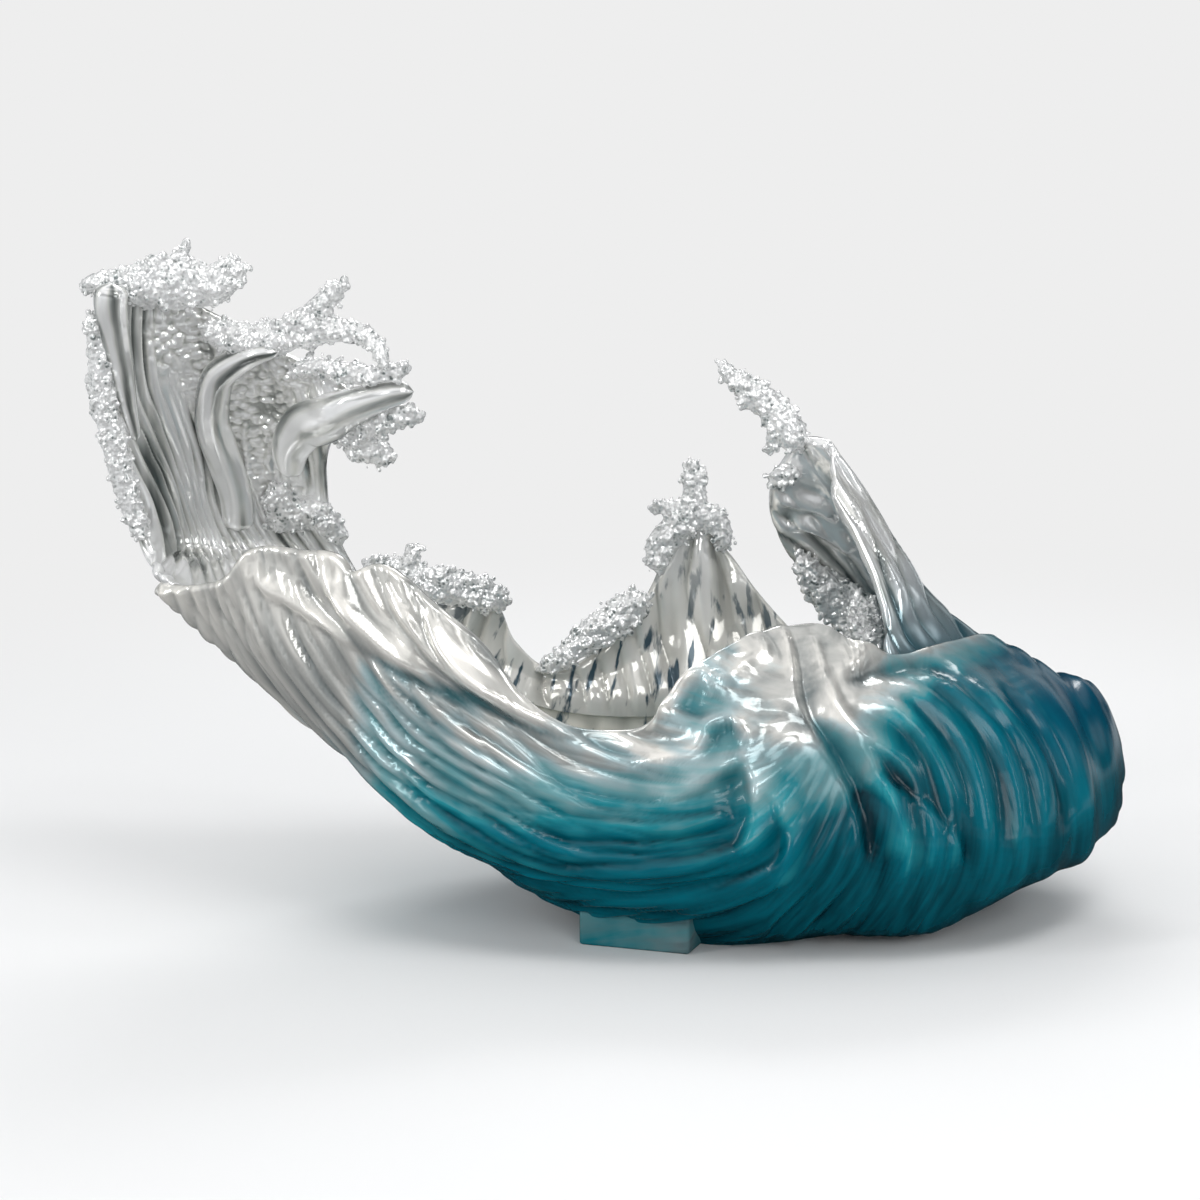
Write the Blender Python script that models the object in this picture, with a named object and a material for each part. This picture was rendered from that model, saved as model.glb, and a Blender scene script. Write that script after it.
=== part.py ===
"""A breaking-wave sculpture in cast resin: a tinted hull on a foot, three clear
crests lapped inside its rim, three pulled tongues and the froth along the edges.

Sizes are in millimetres and MM turns them into metres. +X runs from the tall
crest to the round end, +Y away from the viewer, +Z up. The origin is the middle
of the flat face that the hull rests on.
"""

import math
from functools import cache

import bmesh
import bpy
import numpy as np
from mathutils import Matrix, Vector

MM = 0.001

# Walls, and the glue line that every bonded piece keeps to its neighbour.
BOND = 0.35
HULL_WALL = 8.0
HULL_LIP = 5.0
HULL_FLOOR = 15.0
LIP_CROWN = 2.0
TALL_WALL = 5.5
BACK_WALL = 5.5
HORN_WALL = 5.0

# Levels of the hull, counted from 0 at the resting flat, by 1, 2 and 3 at its rings,
# to 4 at the rim: where the hollow ends, and where the floor turns into the wall and
# the wall begins to thin.
RIM_LEVEL = 4.0
HOLLOW_END = 0.4
FLOOR_END = 0.5
WALL_START = 1.4
LIP_START = 3.0

# Each crest stands in a rebate of the hull's inner face: its depth, how many levels
# down from the rim it reaches, and the least wall that a groove leaves behind it. Its
# outer half thins by TAPER, and its edge is EDGE_THIN of the wall.
REBATE = 2.4
LAP = 0.42
LEAST_WALL = 1.0
TAPER = 0.3
EDGE_THIN = 0.6

# The flutes swirl out of one knot on the front shoulder, and die out close to it.
# They turn by an angle for each millimetre away from it, which grows from the left
# side of the knot to the right. WANDER bends them, by waves of a length, a turn and a
# size. Those of the crests grow out of a plain strip along the rim.
KNOT_X = 14.0
KNOT_Z = 126.0
KNOT_CALM = 22.0
KNOT_FADE = 60.0
SWIRL_LEFT = math.radians(0.31)
SWIRL_RIGHT = math.radians(0.58)
SWIRL_CHANGE = (-20.0, 60.0)
HULL_FLUTES = 24
HULL_FLUTE_DEPTH = 2.3
CREST_FLUTES = 44
CREST_FLUTE_DEPTH = 1.1
CREST_PLAIN_STRIP = 30.0
WANDER = ((31.0, 2.0, 0.5), (17.0, -3.0, 0.35))

# Facets of the hull: from which rib on it has how many columns, so that those on its
# front are about 7 mm wide, and its rows.
HULL_COLUMNS = ((1.0, 15), (4.0, 20), (7.0, 37), (10.4, 24))
HULL_ROWS = 20
HOLLOW_ROWS = 6

# Rings of the hull, one point for each of sixteen ribs. Rib 0 is the prow tip at
# the left, and the ribs run round by the front, the round end and the back. The
# base ring is the edge of the flat that the hull stands on.
BASE_RING = [
    (-92, -2, 0), (-86, -24, 0), (-78, -42, 0), (-68, -58, 0),
    (-55, -70, 0), (-38, -74, 0), (-18, -71, 0), (4, -62, 0),
    (36, -46, 0), (72, -24, 0), (86, 5, 0), (58, 54, 0),
    (0, 74, 0), (-50, 66, 0), (-76, 46, 0), (-90, 20, 0),
]
LOW_RING = [
    (-150, -6, 31), (-141, -30, 25), (-122, -52, 19), (-100, -70, 15),
    (-78, -82, 16), (-50, -88, 13), (-20, -93, 12), (12, -90, 14),
    (56, -82, 9), (91, -54, 16), (115, 5, 15), (76, 72, 15),
    (0, 92, 15), (-68, 82, 17), (-110, 58, 22), (-140, 26, 29),
]
BELLY_RING = [
    (-218, -8, 78), (-208, -38, 76), (-190, -66, 67), (-165, -90, 56),
    (-130, -107, 49), (-85, -117, 46), (-40, -123, 50), (6, -125, 54),
    (62, -116, 52), (120, -75, 45), (151, 2, 43), (108, 88, 47),
    (4, 120, 50), (-93, 112, 48), (-155, 85, 60), (-203, 36, 74),
]
SHOULDER_RING = [
    (-269, -11, 120), (-247, -46, 126), (-205, -74, 124), (-170, -93, 112),
    (-126, -107, 86), (-84, -112, 80), (-47, -112, 98), (-4, -106, 114),
    (46, -102, 101), (112, -60, 99), (149, 12, 97), (98, 86, 87),
    (-2, 116, 72), (-96, 109, 66), (-165, 82, 84), (-238, 36, 117),
]
# The rim: rib position, then the point.
RIM = [
    (0.0, -305, -15, 158), (0.4, -288, -31, 159), (0.75, -271, -43, 166),
    (1.05, -259, -52, 180), (1.5, -232, -64, 182), (1.85, -217, -70, 181),
    (2.05, -211, -75, 174), (2.3, -199, -78, 178), (3.0, -169, -88, 160),
    (3.4, -150, -95, 145), (3.8, -132, -100, 123), (4.2, -114, -102, 110),
    (4.7, -91, -100, 106), (5.2, -71, -97, 111), (5.6, -59, -90, 128),
    (6.0, -47, -83, 136), (7.0, -15, -66, 148), (7.6, 10, -61, 148),
    (8.0, 24, -61, 138), (8.5, 47, -45, 131), (9.0, 70, -20, 133),
    (9.7, 95, 20, 128), (10.3, 86, 48, 118), (10.9, 56, 76, 105),
    (12.0, -10, 104, 88), (13.1, -100, 104, 80), (13.6, -140, 94, 86),
    (14.1, -180, 78, 104), (14.7, -220, 60, 128), (15.3, -262, 35, 150),
]
RIBS = len(LOW_RING)

# Forms modelled one by one on the hull's front, each as a stroke: its line as seen
# from the front (x, z), half its width, its height (a groove's is negative) and its
# lean, which widens the left side of the way it runs and narrows the other.
STROKES = {
    "crease": ([(-6, 146), (-3, 132), (0, 120), (9, 105), (20, 85), (26, 62), (30, 40)],
               6.0, -5.0, 0.4),
    "crease_edge": ([(3, 140), (7, 124), (19, 105), (31, 85), (37, 62), (40, 42)],
                    6.0, 4.0, -0.3),
    "right_groove": ([(24, 96), (46, 84), (62, 70), (71, 54), (74, 38)], 5.0, -3.5, 0.3),
    "rim_curl": ([(-84, 110), (-72, 113), (-63, 121), (-56, 129), (-49, 131), (-45, 126),
                  (-47, 119)], 5.0, 6.0, 0.2),
    "curl_back": ([(-45, 125), (-36, 131), (-26, 138), (-16, 142)], 4.5, 3.0, 0.0),
    "eye_brow": ([(-84, 92), (-68, 96), (-52, 102), (-43, 111), (-35, 113), (-30, 108),
                  (-32, 100)], 4.2, 5.0, 0.3),
    "under_eye": ([(-74, 77), (-56, 84), (-42, 93), (-32, 100)], 4.4, 4.0, 0.4),
    "eye_tail": ([(-31, 99), (-27, 88), (-26, 76), (-29, 65), (-35, 54)], 4.8, 5.0, 0.5),
    "eye_hollow": ([(-39, 94), (-37, 82), (-38, 70)], 5.0, -4.0, 0.0),
    "second_tail": ([(-20, 88), (-13, 74), (-11, 60), (-14, 47), (-21, 36)], 5.0, 4.0, 0.4),
    "lobe": ([(15, 134), (26, 137), (38, 138), (50, 136), (62, 134)], 5.5, 5.0, 0.2),
    "fold_1": ([(20, 122), (41, 112), (53, 99), (61, 82), (64, 63), (61, 41)], 5.2, 4.4, 0.5),
    "fold_2": ([(33, 125), (53, 116), (68, 101), (75, 83), (78, 61), (75, 36)], 5.2, 4.4, 0.5),
    "fold_3": ([(48, 126), (66, 118), (83, 103), (91, 82), (93, 61), (88, 37)], 5.2, 4.4, 0.5),
    "fold_4": ([(72, 121), (89, 107), (102, 89), (106, 68), (104, 45)], 5.2, 4.2, 0.5),
    "fold_5": ([(92, 119), (109, 105), (120, 85), (125, 65), (120, 47)], 5.6, 4.2, 0.5),
    "petal_1": ([(-261, 178), (-252, 168), (-235, 158), (-206, 145), (-169, 125)],
                5.5, 4.6, 0.5),
    "petal_2": ([(-229, 186), (-217, 167), (-201, 152), (-178, 135), (-141, 117)],
                5.5, 5.0, 0.5),
    "petal_3": ([(-207, 180), (-199, 167), (-187, 153), (-166, 136), (-132, 115)],
                4.5, 4.6, 0.5),
    "petal_4": ([(-194, 175), (-185, 158), (-169, 141), (-146, 122), (-114, 107)],
                4.5, 4.6, 0.5),
    "petal_5": ([(-176, 165), (-168, 147), (-153, 130), (-132, 114), (-105, 104)],
                4.5, 4.2, 0.5),
}
STROKE_REACH = 2.6
FRONT_FADE = 15.0

# The folds take the flutes' place on the front: where along x, and what share of the
# flutes is left there.
FOLD_ZONE = (0.0, 30.0, 112.0, 132.0)
FOLD_SHARE = (1.0, 0.15, 0.15, 1.0)

# The crests. Each runs on from the hull's rim through rings of its own, again as a
# rib position and then the point. Its first ring says how far along the rim it runs.
CRESTS = {
    "tall_crest": {
        "wall": TALL_WALL, "columns": 20, "rows": 14,
        "rings": [
            [(14.36, -224, 58, 168), (14.8, -246, 62, 167), (15.3, -275, 54, 165),
             (15.75, -302, 34, 168), (16.2, -314, -2, 172)],
            [(14.36, -229, 34, 206), (14.9, -262, 48, 207), (15.5, -297, 42, 208),
             (16.2, -324, 0, 213)],
            [(14.36, -210, -4, 250), (14.7, -230, 2, 261), (15.1, -258, 8, 275),
             (15.4, -280, 11, 287), (15.8, -305, 8, 298), (16.2, -330, -8, 298)],
        ],
    },
    "back_crest": {
        "wall": BACK_WALL, "columns": 34, "rows": 8,
        "rings": [
            [(11.35, 16, 97, 104), (11.8, -2, 107, 108), (12.3, -38, 113, 118),
             (12.8, -75, 111, 101), (12.95, -91, 108, 93), (13.2, -113, 103, 89),
             (13.5, -136, 97, 94), (13.7, -146, 93, 104), (14.3, -184, 80, 118)],
            [(11.35, 12, 100, 108), (11.6, 1, 107, 117), (11.85, -16, 112, 136),
             (12.1, -31, 114, 156), (12.3, -46, 114, 169), (12.42, -53, 114, 169),
             (12.6, -63, 113, 152), (12.8, -77, 110, 126), (12.95, -97, 106, 106),
             (13.2, -121, 101, 97), (13.35, -132, 98, 103), (13.5, -140, 94, 113),
             (13.7, -146, 91, 128), (14.3, -182, 79, 135)],
        ],
    },
    "horn": {
        "wall": HORN_WALL, "columns": 20, "rows": 12,
        "rings": [
            [(8.4, 38, -35, 154), (9.0, 55, -14, 158), (9.7, 59, 16, 155),
             (10.1, 56, 34, 146), (10.4, 50, 48, 138), (10.75, 34, 62, 122)],
            [(8.4, 28, -20, 180), (9.0, 33, -2, 193), (9.7, 31, 17, 197),
             (10.1, 28, 34, 182), (10.4, 18, 46, 170), (10.75, 12, 57, 145)],
            [(8.4, 16, -8, 202), (9.0, 15, 2, 216), (9.4, 14, 8, 226), (9.7, 3, 15, 227),
             (10.1, -8, 26, 214), (10.4, -13, 36, 200), (10.6, -11, 45, 183),
             (10.75, -2, 52, 164)],
        ],
    },
}

# Tongues lie on the tall crest. Each row is a point of the middle line as seen from
# the front (x, z), half a width, half a depth, and the lift off the crest's face.
TONGUES = {
    "tall_tongue": [
        (-317, 227, 3, 3, 0), (-320, 246, 4.5, 4, 1), (-322, 264, 6, 5, 2),
        (-324, 281, 7, 6, 4), (-325, 294, 8, 7, 7), (-324, 303, 8, 7, 9),
    ],
    "middle_tongue": [
        (-274, 176, 7.5, 5, 0), (-275, 194, 8, 6, 0), (-280, 214, 8.5, 7, 1),
        (-284, 231, 8.5, 8, 2), (-283, 243, 8.5, 8, 3), (-279, 255, 8, 8, 4),
        (-268, 264, 6.5, 7, 6), (-256, 269, 4.5, 5, 7), (-248, 270, 2.5, 3, 8),
    ],
    "broad_tongue": [
        (-247, 206, 6, 5, 0), (-245, 221, 9.5, 7, 1), (-238, 232, 11.5, 8, 2),
        (-226, 238, 11.5, 8, 4), (-214, 244, 9, 8, 5), (-203, 248, 7.5, 7, 6),
        (-192, 251, 6, 5, 7), (-184, 252, 4, 4, 8),
    ],
}

# Froth: the crest that carries each piece, then its strands. A strand has the lift
# off the crest's face at its two ends, and its points are given as the tongues' are.
FROTH = {
    "left_edge_froth": ("tall_crest", [
        (0, 0, [(-335, 289, 4, 4), (-332, 274, 6, 6), (-331, 248, 7, 6), (-326, 224, 7, 6),
                (-321, 200, 6, 5), (-314, 180, 4.5, 4.5)]),
    ]),
    "crown_froth": ("tall_crest", [
        (0, 4, [(-339, 301, 3, 4), (-333, 303, 5, 5), (-323, 302, 8, 6), (-312, 302, 12, 7),
                (-300, 302, 14, 7), (-288, 301, 13, 7), (-278, 300, 9, 7), (-270, 307, 8, 5),
                (-263, 308, 4, 4)]),
        (0, 0, [(-301, 304, 6, 5), (-294, 314, 4.5, 4.5), (-292, 319, 3, 3)]),
    ]),
    "arm_froth": ("tall_crest", [
        (0, 14, [(-286, 281, 5, 5), (-275, 277, 8, 6), (-262, 275, 9, 6), (-247, 277, 9, 6),
                 (-235, 284, 8, 6), (-226, 293, 6, 5), (-220, 299, 4.5, 4), (-216, 303, 3, 4)]),
        (6, 16, [(-240, 277, 7, 6), (-227, 280, 7, 6), (-215, 281, 6, 5), (-205, 278, 5, 4),
                 (-199, 272, 4, 4), (-197, 265, 4, 4)]),
    ]),
    "tongue_lip_froth": ("tall_crest", [
        (2, 12, [(-242, 260, 4, 5), (-231, 263, 5, 5), (-217, 261, 5.5, 6), (-202, 260, 5, 6),
                 (-191, 262, 4.5, 5), (-186, 266, 3, 4)]),
    ]),
    "under_lip_froth": ("tall_crest", [
        (0, 6, [(-220, 226, 7, 5), (-210, 231, 8, 5), (-200, 236, 7, 5), (-191, 240, 6, 5),
                (-181, 240, 4, 4)]),
        (0, 4, [(-218, 223, 8, 5), (-206, 222, 7, 5), (-195, 219, 5, 4)]),
    ]),
    "crest_root_froth": ("tall_crest", [
        (2, 3, [(-256, 200, 7, 6), (-250, 188, 12, 8), (-247, 176, 13, 7)]),
        (2, 3, [(-249, 188, 10, 7), (-238, 186, 8, 7), (-229, 180, 7, 6), (-225, 171, 5, 5)]),
    ]),
    "shelf_froth": ("back_crest", [
        (4, 2, [(-214, 156, 5, 5), (-205, 153, 8, 6), (-194, 149, 9, 6), (-179, 145, 10, 7),
                (-165, 142, 10, 7), (-153, 138, 9, 7), (-143, 134, 6, 6)]),
        (4, 4, [(-196, 150, 6, 5), (-190, 160, 4, 4), (-187, 165, 3, 3)]),
    ]),
    "saddle_froth": ("back_crest", [
        (0, 0, [(-127, 98, 4, 5), (-116, 102, 6, 6), (-106, 110, 8, 7), (-94, 118, 10, 7),
                (-82, 126, 10, 7), (-72, 133, 8, 7)]),
    ]),
    "peak_froth": ("back_crest", [
        (0, 0, [(-66, 146, 6, 6), (-66, 157, 8, 7), (-58, 167, 9, 8), (-50, 175, 10, 8),
                (-48, 185, 7, 6), (-48, 196, 6, 5), (-49, 203, 3, 4)]),
        (0, 0, [(-56, 178, 6, 5), (-63, 179, 4, 4), (-70, 180, 2.5, 3)]),
        (0, 0, [(-50, 175, 9, 7), (-39, 173, 8, 7), (-33, 166, 5, 6), (-33, 157, 4, 5)]),
    ]),
    "horn_tip_froth": ("horn", [
        (0, -8, [(0, 221, 6, 6), (-5, 230, 8.5, 7), (-11, 238, 9, 7), (-19, 246, 7.5, 6),
                 (-28, 252, 6, 5), (-35, 258, 4, 4), (-38, 262, 2.5, 3)]),
        (-3, -3, [(-19, 246, 6, 5), (-25, 244, 4.5, 4), (-29, 242, 3, 3)]),
        (0, 0, [(-6, 232, 6, 5), (-12, 226, 5, 5), (-14, 220, 3, 4)]),
    ]),
    "horn_knot_froth": ("horn", [
        (2, 2, [(-14, 204, 4, 5), (-8, 207, 6, 7), (0, 209, 5, 6)]),
    ]),
    "horn_root_froth": ("horn", [
        (3, 8, [(2, 165, 4, 5), (9, 154, 8, 7), (18, 145, 12, 8), (29, 137, 13, 8),
                (36, 130, 8, 7)]),
    ]),
}
FROTH_SIDES = 6
FROTH_STEP = 7.8
FROTH_LUMP = 0.14
LUMPS_ROUND = 5
LUMP_SHIFT = 2.3
LUMP_BEAT = 1.9
TONGUE_SIDES = 9
TONGUE_STEP = 7.0
BLUNT_END = 0.6

# The foot under the prow side, by the middle of its near face. It runs up into the
# hull's floor beside one rib, by FOOT_BITE, and the hull then shapes its top.
FOOT_LENGTH = 54.0
FOOT_DEPTH = 40.0
FOOT_RIB = 4
FOOT_BITE = 5.0
FOOT_NEAR_MIDDLE = (-80.5, -83.0)
FOOT_TURN = math.radians(-19.4)
FOOT_EDGE = 1.6

RESINS = {
    "teal_resin": ((0.010, 0.125, 0.160, 1.0), 0.12),
    "clear_resin": ((0.56, 0.58, 0.56, 1.0), 0.06),
    "froth_resin": ((0.78, 0.80, 0.79, 1.0), 0.22),
}


def smooth_curve(knots, points, at, period=0.0):
    """The Catmull-Rom curve through points at knots, read at the positions in at.
    period is the length of a closed curve, or 0 for an open one."""
    knots = np.asarray(knots, float)
    points = np.asarray(points, float).reshape(len(knots), -1)
    at = np.asarray(at, float)
    if period:
        at = (at - knots[0]) % period + knots[0]
        knots = np.concatenate([knots[-2:] - period, knots, knots[:3] + period])
        points = np.concatenate([points[-2:], points, points[:3]])
    slopes = np.gradient(points, knots, axis=0)
    left = np.clip(np.searchsorted(knots, at, side="right") - 1, 0, len(knots) - 2)
    span = (knots[left + 1] - knots[left])[:, None]
    along = (at - knots[left])[:, None] / span
    return blend(points[left], points[left + 1], slopes[left] * span, slopes[left + 1] * span, along)


def blend(start, end, start_slope, end_slope, along):
    """The cubic from start to end with the given slopes, at a share along it."""
    rest = 1 - along
    return (
        start * (1 + 2 * along) * rest**2
        + end * along**2 * (3 - 2 * along)
        + start_slope * along * rest**2
        - end_slope * along**2 * rest
    )


def unit(vectors):
    """The vectors of an array, each one unit long."""
    return vectors / np.linalg.norm(vectors, axis=-1, keepdims=True)


def hull_skin(rib, level):
    """Points of the hull's smooth outer skin, at ribs round it and levels up it."""
    rib = np.asarray(rib, float)
    level = np.broadcast_to(np.asarray(level, float), rib.shape)
    ribs = np.arange(RIBS)
    rings = [
        smooth_curve(ribs, ring, rib, RIBS)
        for ring in (BASE_RING, LOW_RING, BELLY_RING, SHOULDER_RING)
    ]
    rings.append(smooth_curve([r[0] for r in RIM], [r[1:] for r in RIM], rib, RIBS))
    rings = np.stack(rings)
    slopes = np.gradient(rings, axis=0)
    low = np.clip(level.astype(int), 0, len(rings) - 2)
    each = np.arange(len(rib))
    return blend(
        rings[low, each], rings[low + 1, each], slopes[low, each], slopes[low + 1, each],
        (level - low)[:, None],
    )


def hull_normal(rib, level):
    """Unit normals of the smooth skin, pointing out of the bowl."""
    step = 0.02
    level = np.broadcast_to(np.asarray(level, float), np.shape(rib))
    round_it = hull_skin(rib + step, level) - hull_skin(rib - step, level)
    above = hull_skin(rib, np.minimum(level + step, RIM_LEVEL))
    up_it = above - hull_skin(rib, np.maximum(level - step, 0))
    return unit(np.cross(round_it, up_it))


def hull_thickness(level):
    """The wall from the skin inwards: the floor's below, thinning to the lip."""
    levels = [FLOOR_END, WALL_START, LIP_START, RIM_LEVEL]
    return np.interp(level, levels, [HULL_FLOOR, HULL_WALL, HULL_WALL, HULL_LIP])


def swirl_ridges(points, count):
    """Ridges from -1 to 1 that spiral out of the knot, as seen from the front."""
    across = points[..., 0] - KNOT_X
    up = points[..., 2] - KNOT_Z
    reach = np.hypot(across, up)
    swirl = np.interp(points[..., 0], SWIRL_CHANGE, (SWIRL_LEFT, SWIRL_RIGHT))
    turn = np.arctan2(up, across) + swirl * reach
    wander = sum(size * np.sin(reach / length + twist * turn) for length, twist, size in WANDER)
    return np.sin(count * turn + wander) * np.clip((reach - KNOT_CALM) / KNOT_FADE, 0, 1)


def stroke_rise(points, line, half_width, height, lean):
    """How far one stroke moves each of the points out. It dies away at its ends."""
    line = np.asarray(line, float)
    run = np.concatenate([[0], np.cumsum(np.linalg.norm(np.diff(line, axis=0), axis=1))])
    fine = smooth_curve(run, line, np.linspace(0, run[-1], 3 * len(line)))
    along = unit(np.gradient(fine, axis=0))
    away = points[:, None, [0, 2]] - fine
    nearest = np.argmin((away**2).sum(axis=2), axis=1)
    off = away[np.arange(len(points)), nearest]
    side = along[nearest, 0] * off[:, 1] - along[nearest, 1] * off[:, 0]
    distance = np.linalg.norm(off, axis=1) / half_width
    width = 1 + lean * np.sign(side) * np.minimum(distance, 1)
    ends = np.sin(math.pi * np.clip(nearest / (len(fine) - 1), 0.05, 0.95))
    rise = height * np.minimum(1.8 * ends, 1) * np.exp(-((distance / width) ** 2))
    return np.where(distance < STROKE_REACH, rise, 0)


def hull_relief(skin, level):
    """How far the flutes and strokes move the smooth skin out at one level."""
    front = np.clip(-skin[:, 1] / FRONT_FADE, 0, 1)
    share = 1 - front * (1 - np.interp(skin[:, 0], FOLD_ZONE, FOLD_SHARE))
    rise = HULL_FLUTE_DEPTH * share * swirl_ridges(skin, HULL_FLUTES)
    for stroke in STROKES.values():
        rise += front * stroke_rise(skin, *stroke)
    rise *= min(1.0, level)
    return np.maximum(rise, LEAST_WALL + BOND + REBATE - hull_thickness(level))


def grid_faces(columns, rows, closed):
    """Quads over a grid of points that runs along each row in turn."""
    last = columns if closed else columns - 1
    return [
        (r * columns + c, r * columns + (c + 1) % columns,
         (r + 1) * columns + (c + 1) % columns, (r + 1) * columns + c)
        for r in range(rows - 1)
        for c in range(last)
    ]


def resin_material(resin):
    """The Principled material of one of the three resins."""
    if resin in bpy.data.materials:
        return bpy.data.materials[resin]
    colour, roughness = RESINS[resin]
    material = bpy.data.materials.new(resin)
    material.use_nodes = True
    shader = material.node_tree.nodes["Principled BSDF"]
    shader.inputs["Base Color"].default_value = colour
    shader.inputs["Roughness"].default_value = roughness
    shader.inputs["Metallic"].default_value = 0.0
    return material


def new_piece(name, points, faces, resin, smooth_angle=50):
    """One object from points in millimetres, with its faces turned outwards."""
    mesh = bpy.data.meshes.new(name)
    mesh.from_pydata([tuple(float(c) * MM for c in p) for p in points], [], faces)
    work = bmesh.new()
    work.from_mesh(mesh)
    bmesh.ops.remove_doubles(work, verts=work.verts, dist=0.02 * MM)
    bmesh.ops.recalc_face_normals(work, faces=work.faces)
    if work.calc_volume(signed=True) < 0:
        bmesh.ops.reverse_faces(work, faces=work.faces)
    bmesh.ops.triangulate(work, faces=work.faces)
    work.to_mesh(mesh)
    work.free()
    mesh.shade_smooth()
    mesh.set_sharp_from_angle(angle=math.radians(smooth_angle))
    mesh.materials.append(resin_material(resin))
    piece = bpy.data.objects.new(name, mesh)
    bpy.context.collection.objects.link(piece)
    return piece


def hull_piece(name, grow=0.0):
    """The bowl. grow swells its walls, for the cutter that seats its neighbours."""
    starts = [start for start, _ in HULL_COLUMNS]
    ends = [*starts[1:], starts[0] + RIBS]
    ribs = np.concatenate([
        np.linspace(start, end, number, endpoint=False)
        for (start, number), end in zip(HULL_COLUMNS, ends, strict=True)
    ])
    columns = len(ribs)
    rows = []
    for level in np.linspace(0, RIM_LEVEL, HULL_ROWS):
        skin = hull_skin(ribs, level)
        rise = hull_relief(skin, level) + grow
        rows.append(skin + hull_normal(ribs, level) * rise[:, None])
    rows[0][:, 2] = -grow
    rim = hull_skin(ribs, RIM_LEVEL)
    rise = unit(rim - hull_skin(ribs, RIM_LEVEL - 0.05))
    middle = rim - hull_normal(ribs, RIM_LEVEL) * HULL_LIP / 2
    rows.append(middle + rise * (LIP_CROWN + grow))
    for level in np.linspace(RIM_LEVEL, HOLLOW_END, HOLLOW_ROWS):
        inset = hull_thickness(level) + grow
        rows.append(hull_skin(ribs, level) - hull_normal(ribs, level) * inset)
    faces = grid_faces(columns, len(rows), True)
    top = (len(rows) - 1) * columns
    points = np.vstack([np.concatenate(rows), rows[-1].mean(axis=0)])
    faces.append(tuple(reversed(range(columns))))
    for c in range(columns):
        faces.append((top + c, top + (c + 1) % columns, len(points) - 1))
    return new_piece(name, points, faces, "teal_resin")


@cache
def crest_faces(name):
    """(outer, normals, inner) of a crest, as grids of points. It starts down in its
    rebate, follows the hull to the rim and runs on through its own rings."""
    crest = CRESTS[name]
    first_ring = crest["rings"][0]
    ribs = np.linspace(first_ring[0][0], first_ring[-1][0], crest["columns"])
    stack = []
    for level in (RIM_LEVEL - LAP, RIM_LEVEL - LAP / 2, RIM_LEVEL):
        inset = hull_thickness(level) - REBATE
        stack.append(hull_skin(ribs, level) - hull_normal(ribs, level) * inset)
    for ring in crest["rings"]:
        stack.append(smooth_curve([r[0] for r in ring], [r[1:] for r in ring], ribs))
    stack = np.stack(stack)
    run = np.linalg.norm(np.diff(stack, axis=0), axis=2).mean(axis=1)
    run = np.concatenate([[0], np.cumsum(run)])
    at = np.linspace(0, run[-1], crest["rows"])
    columns = [smooth_curve(run, stack[:, c], at) for c in range(crest["columns"])]
    outer = np.stack(columns, axis=1)
    normals = unit(np.cross(np.gradient(outer, axis=1), np.gradient(outer, axis=0)))
    above_rim = np.clip((at - run[2]) / CREST_PLAIN_STRIP, 0, 1)[:, None]
    share = np.ones(outer.shape[:2])
    share -= TAPER * np.clip(2 * at / run[-1] - 1, 0, 1)[:, None]
    share[:, [0, -1]] *= EDGE_THIN
    share[-1] *= EDGE_THIN
    flutes = CREST_FLUTE_DEPTH * above_rim * (1 + swirl_ridges(outer, CREST_FLUTES))
    inner = outer - normals * ((crest["wall"] + flutes) * share)[..., None]
    return outer, normals, inner


def crest_piece(name, grow=0.0):
    """A crest, or its cutter if grow swells it."""
    outer, normals, inner = crest_faces(name)
    if grow:
        outer = push_border(outer + normals * grow, grow)
        inner = push_border(inner - normals * grow, grow)
    rows, columns = outer.shape[:2]
    size = rows * columns
    faces = grid_faces(columns, rows, False)
    faces += [tuple(i + size for i in reversed(f)) for f in faces]
    border = list(range(columns))
    border += [r * columns + columns - 1 for r in range(1, rows)]
    border += [size - 1 - c for c in range(1, columns)]
    border += [r * columns for r in range(rows - 2, 0, -1)]
    for a, b in zip(border, border[1:] + border[:1], strict=True):
        faces.append((a, b, b + size, a + size))
    points = np.concatenate([outer.reshape(-1, 3), inner.reshape(-1, 3)])
    return new_piece(name, points, faces, "clear_resin")


def push_border(grid, grow):
    """The grid with its border moved outwards by grow, in its own surface."""
    grid = grid.copy()
    for edge, inside in ((0, 1), (-1, -2)):
        grid[edge] += grow * unit(grid[edge] - grid[inside])
        grid[:, edge] += grow * unit(grid[:, edge] - grid[:, inside])
    return grid


def on_crest(name, x, z):
    """The y of a crest's inner face at (x, z) as seen from the front, or at its
    nearest point if the crest doesn't reach that far."""
    face = crest_faces(name)[2].reshape(-1, 3)
    away = np.hypot(face[:, 0] - x, face[:, 2] - z)
    nearest = np.argsort(away)[:4]
    weights = 1 / (away[nearest] ** 2 + 1)
    return float(weights @ face[nearest, 1] / weights.sum())


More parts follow.
